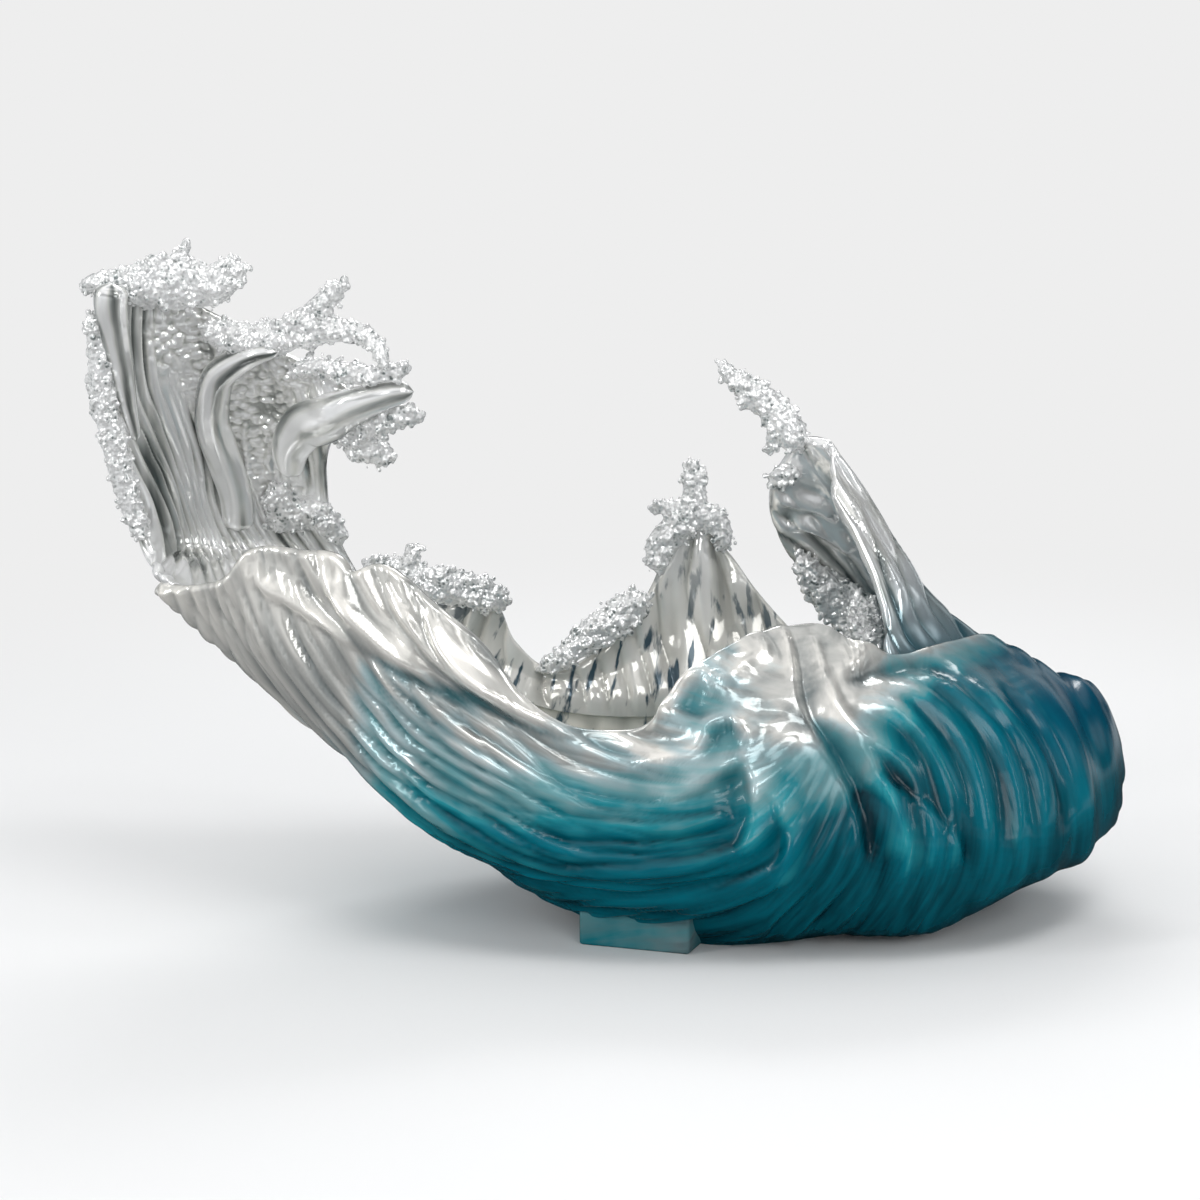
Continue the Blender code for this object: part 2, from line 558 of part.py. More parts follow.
def strand(path, sides, step, lump=0.0, grow=0.0, seed=0.0):
    """(points, faces) of one strand: an oval section swept along the path, whose
    points are (x, y, z, half width, half depth), with blunt ends."""
    path = np.asarray(path, float)
    run = np.concatenate([[0], np.cumsum(np.linalg.norm(np.diff(path[:, :3], axis=0), axis=1))])
    line = smooth_curve(run, path, np.linspace(0, run[-1], max(4, round(run[-1] / step)) + 1))
    tangent = unit(np.gradient(line[:, :3], axis=0))
    deep = unit(np.array([0.0, 1.0, 0.0]) - tangent * tangent[:, 1:2])
    wide = np.cross(tangent, deep)
    angles = np.arange(sides) * 2 * math.pi / sides
    points = []
    for k, (x, y, z, half_width, half_depth) in enumerate(line):
        swell = 1 + lump * np.sin(LUMPS_ROUND * angles + LUMP_SHIFT * k + seed)
        swell += lump * math.sin(LUMP_BEAT * k + seed)
        across = (half_width * swell + grow) * np.cos(angles)
        through = (half_depth * swell + grow) * np.sin(angles)
        points.append([x, y, z] + wide[k] * across[:, None] + deep[k] * through[:, None])
    first = line[0, :3] - tangent[0] * (BLUNT_END * line[0, 3] + grow)
    last = line[-1, :3] + tangent[-1] * (BLUNT_END * line[-1, 3] + grow)
    faces = grid_faces(sides, len(points), True)
    start = len(points) * sides
    for c in range(sides):
        after = (c + 1) % sides
        faces.append((after, c, start))
        faces.append((start - sides + c, start - sides + after, start + 1))
    return np.vstack([np.concatenate(points), first, last]), faces


def tongue_piece(name, grow=0.0):
    """A smooth tongue that stands out of the face of the tall crest."""
    path = [
        (x, on_crest("tall_crest", x, z) - lift, z, wide, deep)
        for x, z, wide, deep, lift in TONGUES[name]
    ]
    points, faces = strand(path, TONGUE_SIDES, TONGUE_STEP, grow=grow)
    return new_piece(name, points, faces, "clear_resin")


def froth_piece(name, grow=0.0):
    """A lump of froth: its strands, joined where they cross."""
    crest, strands = FROTH[name]
    parts = []
    for i, (first_lift, last_lift, rows) in enumerate(strands):
        lifts = np.linspace(first_lift, last_lift, len(rows))
        path = [
            (x, on_crest(crest, x, z) - lift, z, wide, deep)
            for (x, z, wide, deep), lift in zip(rows, lifts, strict=True)
        ]
        points, faces = strand(path, FROTH_SIDES, FROTH_STEP, FROTH_LUMP, grow, 2.0 * i + len(name))
        parts.append(new_piece(name if i == 0 else f"{name}_{i}", points, faces, "froth_resin", 25))
    cut(parts[0], parts[1:], "UNION")
    for part in parts[1:]:
        bpy.data.objects.remove(part)
    return parts[0]


def foot_piece(name):
    """The foot: a soft-edged block, which the hull's underside then shapes."""
    bpy.ops.mesh.primitive_cube_add(size=1)
    foot = bpy.context.object
    foot.name = foot.data.name = name
    height = LOW_RING[FOOT_RIB][2] + FOOT_BITE
    foot.data.transform(Matrix.Diagonal((FOOT_LENGTH * MM, FOOT_DEPTH * MM, height * MM, 1)))
    foot.rotation_euler.z = FOOT_TURN
    inwards = Vector((-math.sin(FOOT_TURN), math.cos(FOOT_TURN), 0)) * FOOT_DEPTH / 2
    foot.location = (Vector((*FOOT_NEAR_MIDDLE, height / 2)) + inwards) * MM
    edge = foot.modifiers.new("soft_edges", "BEVEL")
    edge.width = FOOT_EDGE * MM
    edge.segments = 2
    foot.data.materials.append(resin_material("teal_resin"))
    return foot


def cut(piece, others, operation="DIFFERENCE"):
    """Cuts others out of piece, or joins them to it. Of what is left, only the
    largest body stays."""
    for other in others:
        change = piece.modifiers.new(operation.lower(), "BOOLEAN")
        change.operation = operation
        change.object = other
        change.solver = "EXACT"
    graph = bpy.context.evaluated_depsgraph_get()
    made = bpy.data.meshes.new_from_object(piece.evaluated_get(graph))
    piece.modifiers.clear()
    piece.data = made
    work = bmesh.new()
    work.from_mesh(made)
    keep_largest(work)
    bmesh.ops.remove_doubles(work, verts=work.verts, dist=0.01 * MM)
    bmesh.ops.dissolve_degenerate(work, edges=work.edges, dist=0.005 * MM)
    work.to_mesh(made)
    work.free()


def keep_largest(work):
    """Deletes every loose body but the largest from the mesh being worked on."""
    left = set(work.verts)
    bodies = []
    while left:
        front = [left.pop()]
        body = set(front)
        while front:
            near = {edge.other_vert(v) for v in front for edge in v.link_edges} - body
            body |= near
            left -= near
            front = list(near)
        bodies.append(body)
    bodies.sort(key=volume)
    for body in bodies[:-1]:
        bmesh.ops.delete(work, geom=list(body), context="VERTS")


def volume(body):
    """The volume that the closed body of these vertices holds."""
    total = 0.0
    for face in {face for v in body for face in v.link_faces}:
        first, *others = (v.co for v in face.verts)
        total += sum(first.dot(b.cross(c)) for b, c in zip(others, others[1:], strict=False)) / 6
    return total


def boxes_meet(piece, other):
    """True if the boxes round the two objects meet."""
    here = np.array([v.co for v in piece.data.vertices])
    there = np.array([v.co for v in other.data.vertices])
    clear = (here.min(axis=0) > there.max(axis=0)) | (there.min(axis=0) > here.max(axis=0))
    return not clear.any()


@cache
def swollen(make, name):
    """The cutter that seats a piece's neighbours: the piece, swollen by BOND."""
    cutter = make(name, BOND)
    cutter.name = f"{name}_cutter"
    cutter.hide_render = True
    cutter.display_type = "WIRE"
    return cutter


def seat(piece, neighbours):
    """Cuts piece back by BOND from each of its neighbours that it may touch, which
    are given as (function that makes it, name)."""
    cutters = [swollen(*neighbour) for neighbour in neighbours]
    cut(piece, [cutter for cutter in cutters if boxes_meet(piece, cutter)])


def main():
    for old in list(bpy.data.objects):
        bpy.data.objects.remove(old)
    crests = [(crest_piece, name) for name in CRESTS]
    tongues = [(tongue_piece, name) for name in TONGUES]
    hull = (hull_piece, "hull")
    swollen(*hull)
    seat(hull_piece("hull"), crests)
    seat(foot_piece("foot_block"), [hull])
    for name in CRESTS:
        crest_piece(name)
    for name in TONGUES:
        seat(tongue_piece(name), crests)
    seated = [hull, *crests, *tongues]
    for name in FROTH:
        seat(froth_piece(name), seated)
        seated.append((froth_piece, name))


main()
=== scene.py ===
# %% [markdown]
# # A breaking wave in cast resin
#
# The object is a table sculpture: a tinted, fluted hull on a small foot, with clear
# crests, pulled tongues and froth. The solid model gives every piece its place and
# its main form. This lesson gives each piece the surface that the eye sees: fine
# flutes, polished faces, and thousands of small bubbles.
#
# Lengths are in millimetres until a mesh is made, in the axes of the solid model: x
# to the right, y away from the viewer, z up. "Seen from the front" means (x, z).

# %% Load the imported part
import math

import bpy
import numpy as np
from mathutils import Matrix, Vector, noise


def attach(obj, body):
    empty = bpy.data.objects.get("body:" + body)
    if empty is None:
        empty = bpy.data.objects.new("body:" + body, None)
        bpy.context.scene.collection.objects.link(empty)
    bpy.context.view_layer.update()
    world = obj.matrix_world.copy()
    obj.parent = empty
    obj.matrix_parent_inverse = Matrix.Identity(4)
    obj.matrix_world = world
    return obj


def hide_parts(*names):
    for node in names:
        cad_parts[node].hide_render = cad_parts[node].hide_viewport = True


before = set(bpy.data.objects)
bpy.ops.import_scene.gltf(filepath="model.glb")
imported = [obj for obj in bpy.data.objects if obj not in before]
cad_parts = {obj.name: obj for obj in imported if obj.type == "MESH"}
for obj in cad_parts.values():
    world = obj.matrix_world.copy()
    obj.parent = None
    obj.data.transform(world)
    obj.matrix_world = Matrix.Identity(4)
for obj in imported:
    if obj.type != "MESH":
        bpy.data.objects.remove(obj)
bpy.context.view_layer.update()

MM = 0.001
print("pieces in the packed part:", len(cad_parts))

# %% [markdown]
# ## Curves and sheets
#
# A casting like this is modelled by hand over an armature of a few bold curves. Here
# smooth cubic curves take the armature's place. A loft between such curves was chosen
# over a sculpted mesh, because two numbers then name each place on the skin: the rib,
# which says how far round it lies, and the level, which says how far up.

# %% Smooth curves
def blend(start, end, start_slope, end_slope, along):
    """The cubic from start to end with the given slopes, at a share along it."""
    rest = 1 - along
    return (
        start * (1 + 2 * along) * rest**2
        + end * along**2 * (3 - 2 * along)
        + start_slope * along * rest**2
        - end_slope * along**2 * rest
    )


def smooth_curve(knots, points, at, period=0.0):
    """The curve through points at knots, read at the positions in at."""
    knots = np.asarray(knots, float)
    points = np.asarray(points, float).reshape(len(knots), -1)
    at = np.asarray(at, float)
    if period:
        at = (at - knots[0]) % period + knots[0]
        knots = np.concatenate([knots[-2:] - period, knots, knots[:3] + period])
        points = np.concatenate([points[-2:], points, points[:3]])
    slopes = np.gradient(points, knots, axis=0)
    left = np.clip(np.searchsorted(knots, at, side="right") - 1, 0, len(knots) - 2)
    span = (knots[left + 1] - knots[left])[:, None]
    along = (at - knots[left])[:, None] / span
    slope_in, slope_out = slopes[left] * span, slopes[left + 1] * span
    return blend(points[left], points[left + 1], slope_in, slope_out, along)


def unit(vectors):
    """The vectors with a length of 1."""
    return vectors / np.linalg.norm(vectors, axis=-1, keepdims=True)


def rise(value, start, run):
    """0 up to the start, then rising evenly to 1 over the run."""
    return np.clip((value - start) / run, 0, 1)


def run_along(line):
    """How far each point of a line lies along it, or each row of a grid up the grid."""
    steps = np.linalg.norm(np.diff(line, axis=0), axis=-1)
    return np.concatenate([np.zeros((1, *steps.shape[1:])), np.cumsum(steps, axis=0)])


def grid_faces(columns, rows, closed):
    """Quads over a grid of points that runs along each row in turn."""
    last = columns if closed else columns - 1
    return [
        (r * columns + c, r * columns + (c + 1) % columns,
         (r + 1) * columns + (c + 1) % columns, (r + 1) * columns + c)
        for r in range(rows - 1)
        for c in range(last)
    ]


print("a closed grid of 4 by 3 points has", len(grid_faces(4, 3, True)), "faces")

# %% [markdown]
# The hull's armature is four rings, each a smooth closed curve through sixteen points,
# and a rim, whose points say at which rib they lie. They are in the same places as in
# the solid model, so the dressed hull lies on the solid one.

# %% Rings of the hull
BASE_RING = [
    (-92, -2, 0), (-86, -24, 0), (-78, -42, 0), (-68, -58, 0),
    (-55, -70, 0), (-38, -74, 0), (-18, -71, 0), (4, -62, 0),
    (36, -46, 0), (72, -24, 0), (86, 5, 0), (58, 54, 0),
    (0, 74, 0), (-50, 66, 0), (-76, 46, 0), (-90, 20, 0),
]
LOW_RING = [
    (-150, -6, 31), (-141, -30, 25), (-122, -52, 19), (-100, -70, 15),
    (-78, -82, 16), (-50, -88, 13), (-20, -93, 12), (12, -90, 14),
    (56, -82, 9), (91, -54, 16), (115, 5, 15), (76, 72, 15),
    (0, 92, 15), (-68, 82, 17), (-110, 58, 22), (-140, 26, 29),
]
BELLY_RING = [
    (-218, -8, 78), (-208, -38, 76), (-190, -66, 67), (-165, -90, 56),
    (-130, -107, 49), (-85, -117, 46), (-40, -123, 50), (6, -125, 54),
    (62, -116, 52), (120, -75, 45), (151, 2, 43), (108, 88, 47),
    (4, 120, 50), (-93, 112, 48), (-155, 85, 60), (-203, 36, 74),
]
SHOULDER_RING = [
    (-269, -11, 120), (-247, -46, 126), (-205, -74, 124), (-170, -93, 112),
    (-126, -107, 86), (-84, -112, 80), (-47, -112, 98), (-4, -106, 114),
    (46, -102, 101), (112, -60, 99), (149, 12, 97), (98, 86, 87),
    (-2, 116, 72), (-96, 109, 66), (-165, 82, 84), (-238, 36, 117),
]
RIM = [
    (0.0, -305, -15, 158), (0.4, -288, -31, 159), (0.75, -271, -43, 166),
    (1.05, -259, -52, 180), (1.5, -232, -64, 182), (1.85, -217, -70, 181),
    (2.05, -211, -75, 174), (2.3, -199, -78, 178), (3.0, -169, -88, 160),
    (3.4, -150, -95, 145), (3.8, -132, -100, 123), (4.2, -114, -102, 110),
    (4.7, -91, -100, 106), (5.2, -71, -97, 111), (5.6, -59, -90, 128),
    (6.0, -47, -83, 136), (7.0, -15, -66, 148), (7.6, 10, -61, 148),
    (8.0, 24, -61, 138), (8.5, 47, -45, 131), (9.0, 70, -20, 133),
    (9.7, 95, 20, 128), (10.3, 86, 48, 118), (10.9, 56, 76, 105),
    (12.0, -10, 104, 88), (13.1, -100, 104, 80), (13.6, -140, 94, 86),
    (14.1, -180, 78, 104), (14.7, -220, 60, 128), (15.3, -262, 35, 150),
]
RIBS = len(LOW_RING)
RIM_LEVEL = 4.0
WALL_LEVELS, WALLS = (0.5, 1.4, 3.0, RIM_LEVEL), (15.0, 8.0, 8.0, 5.0)
NORMAL_STEP = 0.02


def ring_points(ring, ribs, period=0.0):
    """Points at some ribs of a ring that is given as rows of (rib, x, y, z)."""
    ring = np.asarray(ring, float)
    return smooth_curve(ring[:, 0], ring[:, 1:], ribs, period)


def hull_skin(rib, level):
    """Points of the hull's smooth outer skin, at ribs round it and levels up it."""
    rib = np.asarray(rib, float)
    level = np.broadcast_to(np.asarray(level, float), rib.shape)
    rings = [
        smooth_curve(np.arange(RIBS), ring, rib, RIBS)
        for ring in (BASE_RING, LOW_RING, BELLY_RING, SHOULDER_RING)
    ]
    rings = np.stack([*rings, ring_points(RIM, rib, RIBS)])
    slopes = np.gradient(rings, axis=0)
    low = np.clip(level.astype(int), 0, len(rings) - 2)
    each = np.arange(len(rib))
    return blend(
        rings[low, each], rings[low + 1, each], slopes[low, each], slopes[low + 1, each],
        (level - low)[:, None],
    )


def hull_normal(rib, level):
    """Unit normals of the smooth skin, pointing out of the bowl."""
    level = np.broadcast_to(np.asarray(level, float), np.shape(rib))
    round_it = hull_skin(rib + NORMAL_STEP, level) - hull_skin(rib - NORMAL_STEP, level)
    above = hull_skin(rib, np.minimum(level + NORMAL_STEP, RIM_LEVEL))
    up_it = above - hull_skin(rib, np.maximum(level - NORMAL_STEP, 0))
    return unit(np.cross(round_it, up_it))


def hull_thickness(level):
    """The wall in mm from the skin inwards: 15 at the floor, thinning to 5 at the lip."""
    return np.interp(level, WALL_LEVELS, WALLS)


print("ribs:", RIBS, " rim points:", len(RIM))

# %% [markdown]
# ## The flow of the flutes
#
# On the real wave every flute is a groove that was drawn through the soft model with
# a rounded tool, always away from one knot on the front shoulder and always turning
# the same way. So one pair of numbers describes them all: the turn round the knot,
# unwound by the distance, and the distance itself. Where the grooves spread apart,
# new ones are drawn between them, which keeps them about 12 mm apart everywhere.
#
# The ridges between the grooves are not even waves. Each has a slow side and a steep
# one, as layers that lap over each other do, and noise bends them and varies their
# height. They are real geometry, so that light and shade fall on them from any side.

# %% Flow, noise and ridges
KNOT = (14.0, 126.0)
SWIRL = (math.radians(0.31), math.radians(0.58))
SWIRL_CHANGE = (-20.0, 60.0)
KNOT_CALM, KNOT_FADE = 22.0, 60.0
WANDER = ((31.0, 2.0, 0.5), (17.0, -3.0, 0.35))
FINE_PITCH = 12.0
FINE_HEIGHT = 2.0
CROSSING = 0.0025
RIDGE_COUNTS, COUNT_FADE, LEAST_REACH = (14, 28, 56, 112, 224), 0.4, 4
BENDS, BEND_SHARE = ((75, 0.9), (24, 0.12)), 56
UNEVEN_SIZE, UNEVEN_BASE, UNEVEN_RANGE = 45, 0.9, 0.8
NOISE_SHIFT = (17.3, 5.1, 9.7)


def flow(points):
    """(turn, reach) of points, as seen from the front. The turn is counted from above."""
    across = points[..., 0] - KNOT[0]
    up = points[..., 2] - KNOT[1]
    reach = np.hypot(across, up)
    turn = (np.arctan2(up, across) - math.pi / 2) % (2 * math.pi)
    return turn + np.interp(points[..., 0], SWIRL_CHANGE, SWIRL) * reach, reach


def main_flutes(points, count):
    """The solid model's own flutes, from -1 to 1: sines round the knot that wander."""
    turn, reach = flow(points)
    turn = turn + math.pi / 2
    bend = sum(size * np.sin(reach / length + twist * turn) for length, twist, size in WANDER)
    return np.sin(count * turn + bend) * rise(reach, KNOT_CALM, KNOT_FADE)


def rough(points, size, seed):
    """Smooth noise of about -1 to 1, with lumps of about size in mm."""
    shift = Vector([seed * each for each in NOISE_SHIFT])
    flat = (points / size).reshape(-1, 3).tolist()
    return np.array([noise.noise(Vector(p) + shift) for p in flat]).reshape(points.shape[:-1])


def overlapping(phase):
    """A ridge for each turn of the phase: a steep side, a slow side, a narrow valley."""
    share = (phase % 1.0) ** 0.7
    return 2 * np.abs(np.sin(math.pi * share)) ** 0.8 - 1


def ridges(points, turn, reach, pitch, seed):
    """Ridges of about -1 to 1 along the flow, about pitch mm apart. Where they would
    spread too far, new ones fade in between them. Two sizes of noise bend them."""
    warp = sum(bend * rough(points, size, seed + i) for i, (size, bend) in enumerate(BENDS))
    total = np.zeros(points.shape[:-1])
    weight = np.full(points.shape[:-1], 1e-6)
    for count in RIDGE_COUNTS:
        gap = 2 * math.pi * np.maximum(reach, LEAST_REACH) / count
        share = np.exp(-((np.log2(gap / pitch) / COUNT_FADE) ** 2))
        total += share * overlapping(count * (turn / (2 * math.pi) + warp / BEND_SHARE))
        weight += share
    height = UNEVEN_BASE + UNEVEN_RANGE * rough(points, UNEVEN_SIZE, seed + 2)
    return total / weight * height * rise(reach, KNOT_CALM, 0.6 * KNOT_FADE)


print("fine ridges every", FINE_PITCH, "mm, up to", FINE_HEIGHT, "mm high")

# %% [markdown]
# ## Strokes
#
# Some forms were modelled one by one: the curl of the rim with the eye under it, the
# crease down the shoulder, the lobe at the root of the horn, the folds at the right
# and the petals of the prow. Each is one stroke of the tool, given as a line seen
# from the front, half a width, a height (negative for a groove) and a lean, which
# makes one side steeper than the other. The main strokes are in the solid model as
# well. The fine ones are only here: grooves between folds, and small rises and dents.

# %% Strokes on the hull, one by one
STROKES = {
    "crease": ([(-6, 146), (-3, 132), (0, 120), (9, 105), (20, 85), (26, 62), (30, 40)],
               6.0, -5.0, 0.4),
    "crease_edge": ([(3, 140), (7, 124), (19, 105), (31, 85), (37, 62), (40, 42)],
                    6.0, 4.0, -0.3),
    "right_groove": ([(24, 96), (46, 84), (62, 70), (71, 54), (74, 38)], 5.0, -3.5, 0.3),
    "rim_curl": ([(-84, 110), (-72, 113), (-63, 121), (-56, 129), (-49, 131), (-45, 126),
                  (-47, 119)], 5.0, 6.0, 0.2),
    "curl_back": ([(-45, 125), (-36, 131), (-26, 138), (-16, 142)], 4.5, 3.0, 0.0),
    "eye_brow": ([(-84, 92), (-68, 96), (-52, 102), (-43, 111), (-35, 113), (-30, 108),
                  (-32, 100)], 4.2, 5.0, 0.3),
    "under_eye": ([(-74, 77), (-56, 84), (-42, 93), (-32, 100)], 4.4, 4.0, 0.4),
    "eye_tail": ([(-31, 99), (-27, 88), (-26, 76), (-29, 65), (-35, 54)], 4.8, 5.0, 0.5),
    "eye_hollow": ([(-39, 94), (-37, 82), (-38, 70)], 5.0, -4.0, 0.0),
    "second_tail": ([(-20, 88), (-13, 74), (-11, 60), (-14, 47), (-21, 36)], 5.0, 4.0, 0.4),
    "lobe": ([(15, 134), (26, 137), (38, 138), (50, 136), (62, 134)], 5.5, 5.0, 0.2),
    "fold_1": ([(20, 122), (41, 112), (53, 99), (61, 82), (64, 63), (61, 41)], 5.2, 4.4, 0.5),
    "fold_2": ([(33, 125), (53, 116), (68, 101), (75, 83), (78, 61), (75, 36)], 5.2, 4.4, 0.5),
    "fold_3": ([(48, 126), (66, 118), (83, 103), (91, 82), (93, 61), (88, 37)], 5.2, 4.4, 0.5),
    "fold_4": ([(72, 121), (89, 107), (102, 89), (106, 68), (104, 45)], 5.2, 4.2, 0.5),
    "fold_5": ([(92, 119), (109, 105), (120, 85), (125, 65), (120, 47)], 5.6, 4.2, 0.5),
    "petal_1": ([(-261, 178), (-252, 168), (-235, 158), (-206, 145), (-169, 125)],
                5.5, 4.6, 0.5),
    "petal_2": ([(-229, 186), (-217, 167), (-201, 152), (-178, 135), (-141, 117)],
                5.5, 5.0, 0.5),
    "petal_3": ([(-207, 180), (-199, 167), (-187, 153), (-166, 136), (-132, 115)],
                4.5, 4.6, 0.5),
    "petal_4": ([(-194, 175), (-185, 158), (-169, 141), (-146, 122), (-114, 107)],
                4.5, 4.6, 0.5),
    "petal_5": ([(-176, 165), (-168, 147), (-153, 130), (-132, 114), (-105, 104)],
                4.5, 4.2, 0.5),
}
FINE_STROKES = {
    "eye_pocket": ([(-47, 105), (-41, 110), (-35, 111)], 3.2, -3.4, 0.0),
    "hollow_floor": ([(-39, 94), (-37, 82), (-38, 70)], 5.0, 2.0, 0.0),
    "lobe_under": ([(14, 127), (28, 129), (43, 128), (58, 125), (70, 118)], 3.0, -2.4, 0.0),
    "root_fold": ([(-12, 148), (-9, 138), (-7, 129)], 2.6, 2.2, 0.0),
    "root_fold_right": ([(1, 146), (4, 136), (5, 128)], 2.6, 1.8, 0.0),
    "shoulder_dent": ([(-30, 122), (-12, 117), (2, 110)], 4.0, -1.4, 0.0),
    "shoulder_rise": ([(-24, 110), (-8, 106), (4, 98)], 4.5, 1.4, 0.0),
    "between_1": ([(26, 124), (47, 114), (60, 100), (68, 82), (71, 62), (68, 39)],
                  2.4, -1.3, 0.0),
    "between_2": ([(40, 126), (60, 117), (75, 102), (83, 82), (85, 61), (81, 37)],
                  2.4, -1.3, 0.0),
    "between_3": ([(60, 124), (78, 112), (93, 96), (98, 75), (96, 53)], 2.4, -1.3, 0.0),
    "between_4": ([(82, 120), (99, 106), (111, 87), (115, 66), (112, 46)], 2.4, -1.3, 0.0),
    "inner_1": ([(12, 112), (30, 103), (44, 90), (52, 74), (53, 56), (48, 40)],
                3.6, 2.4, 0.4),
    "inner_2": ([(22, 92), (34, 80), (41, 66), (42, 52), (37, 38)], 3.4, 2.0, 0.4),
    "groove_1": ([(-239, 177), (-227, 162), (-210, 147), (-187, 132), (-150, 116)],
                 3.2, -3.4, 0.3),
    "groove_2": ([(-213, 176), (-208, 163), (-192, 146), (-169, 129), (-136, 112)],
                 3.2, -3.4, 0.3),
    "groove_3": ([(-199, 173), (-193, 160), (-178, 144), (-156, 125), (-123, 108)],
                 3.2, -3.4, 0.3),
    "groove_4": ([(-182, 163), (-175, 149), (-159, 132), (-137, 116), (-107, 102)],
                 3.2, -3.4, 0.3),
}


def stroke_height(points, line, half_width, height, lean):
    """How far a stroke moves the points out, with soft ends."""
    line = np.asarray(line, float)
    run = run_along(line)
    fine = smooth_curve(run, line, np.linspace(0, run[-1], max(8, int(run[-1] / 2))))
    share = np.linspace(0, 1, len(fine))
    tangent = unit(np.gradient(fine, axis=0))
    margin = 3 * half_width
    low, high = fine.min(axis=0) - margin, fine.max(axis=0) + margin
    seen = points[:, [0, 2]]
    near = np.nonzero(((seen > low) & (seen < high)).all(axis=1))[0]
    out = np.zeros(len(points))
    away = seen[near, None, :] - fine[None]
    nearest = np.argmin((away**2).sum(axis=2), axis=1)
    off = away[np.arange(len(near)), nearest]
    side = tangent[nearest, 0] * off[:, 1] - tangent[nearest, 1] * off[:, 0]
    distance = np.linalg.norm(off, axis=1)
    width = half_width * (1 + lean * np.sign(side) * np.minimum(distance / half_width, 1))
    fade = np.clip(np.sin(math.pi * np.clip(share[nearest], 0.03, 0.97)) * 1.8, 0, 1)
    out[near] = height * fade * np.exp(-((distance / width) ** 2))
    return out


def raised_by(points, strokes):
    """How far some strokes together move the points out."""
    return sum(stroke_height(points, *stroke) for stroke in strokes)


print("strokes:", len(STROKES), "main and", len(FINE_STROKES), "fine")

# %% [markdown]
# ## The hull
#
# The hull is one heavy casting, so it is one closed mesh: the outer skin, a rounded
# lip and the hollow. The mesh also keeps, at each point, how deep the tint is there
# and where the point lies in the flow, because the resin's colour follows both.
#
# The tint runs out upwards, between a line over which the resin is clear and one under which the
# tint is deep. Patches on the front show where it pooled or ran thin, except two that paint light:
# a painted highlight on the shoulder and painted shade under the petals of the prow.

# %% Tint and mesh helpers
CLEAR_LINE = [(-310, 80), (-235, 106), (-187, 136), (-141, 122), (-96, 110), (-51, 120),
              (-24, 130), (3, 136), (22, 137), (43, 136), (74, 137), (114, 134), (160, 130)]
DEEP_LINE = [(-310, 10), (-217, 30), (-178, 44), (-141, 50), (-96, 56), (-60, 62),
             (-33, 72), (-6, 74), (16, 88), (40, 110), (60, 124), (109, 126), (160, 120)]
DEEPEST_TINT = 1.3
# Patches of (x, z, half width, half height, change). The one at (3, 122) is a painted highlight
# and the one at (-200, 132) painted shade; the others are tint.
TINT_AND_LIGHT_PATCHES = [
    (2, 80, 18, 12, -0.35), (26, 92, 20, 13, -0.5), (-19, 47, 20, 12, -0.2),
    (30, 60, 20, 12, -0.3), (3, 122, 20, 13, -0.9), (-50, 127, 24, 19, 0.65),
    (-200, 132, 20, 20, 0.4),
]
FAN_MIDDLE = (-45.0, 330.0)
FLOW_REACH, FLOW_DEPTH = 120.0, 0.3
TIGHT_REACH, TIGHT_FADE = 70.0, 45.0


def tint_depth(points):
    """0 where the resin is clear, 1 where its tint is deep, as the two lines say, with the patches
    (x, z, half width, half height, change) in front, two of which are a painted highlight and
    painted shade."""
    clear = np.interp(points[:, 0], *zip(*CLEAR_LINE, strict=True))
    deep = np.interp(points[:, 0], *zip(*DEEP_LINE, strict=True))
    depth = np.minimum((clear - points[:, 2]) / (clear - deep), DEEPEST_TINT)
    for x, z, wide, high, change in TINT_AND_LIGHT_PATCHES:
        off = ((points[:, 0] - x) / wide) ** 2 + ((points[:, 2] - z) / high) ** 2
        depth += change * np.exp(-off) * (points[:, 1] < 0)
    return depth


def mesh_object(name, points, faces, smooth=True):
    """An object from points in millimetres."""
    mesh = bpy.data.meshes.new(name)
    mesh.from_pydata((np.asarray(points) * MM).tolist(), [], faces)
    mesh.update()
    if smooth:
        mesh.shade_smooth()
    piece = bpy.data.objects.new(name, mesh)
    bpy.context.scene.collection.objects.link(piece)
    return piece


def keep_value(piece, name, values):
    """Stores one number for each point of the mesh, for its material to read."""
    stored = piece.data.attributes.new(name, "FLOAT", "POINT")
    stored.data.foreach_set("value", np.asarray(values, np.float32))


def fan(points, middle=FAN_MIDDLE):
    """(turn, reach) of streaks that spread from one point, which is high above the
    back unless another is given."""
    across = points[..., 0] - middle[0]
    down = middle[1] - points[..., 2]
    return np.arctan2(across, down) + math.pi, np.hypot(across, down)


def keep_flow(piece, points, turn_and_reach, knotted=1.0):
    """Stores where each point lies in the flow: across it and along it, in mm, and
    how near it is to the middle of the flow, where this is too tight to draw by."""
    turn, reach = turn_and_reach
    stored = piece.data.attributes.new("flow", "FLOAT_VECTOR", "POINT")
    flat = np.stack([turn * FLOW_REACH, reach, points[:, 1] * FLOW_DEPTH], axis=1)
    stored.data.foreach_set("vector", flat.astype(np.float32).ravel())
    keep_value(piece, "near_knot", knotted * rise(TIGHT_REACH, reach, TIGHT_FADE))


print("tint lines of", len(CLEAR_LINE), "and", len(DEEP_LINE), "points, with",
      len(TINT_AND_LIGHT_PATCHES), "patches")

# %% [markdown]
# Each point of the skin is pushed out along its normal. First come the flutes and the
# strokes of the solid model, then ridges of three sizes, the finest only in front.
# They are weak on the calm front shoulder, where the real casting is smooth and shows
# only veils of tint, and beside the strokes, which were cut after them.

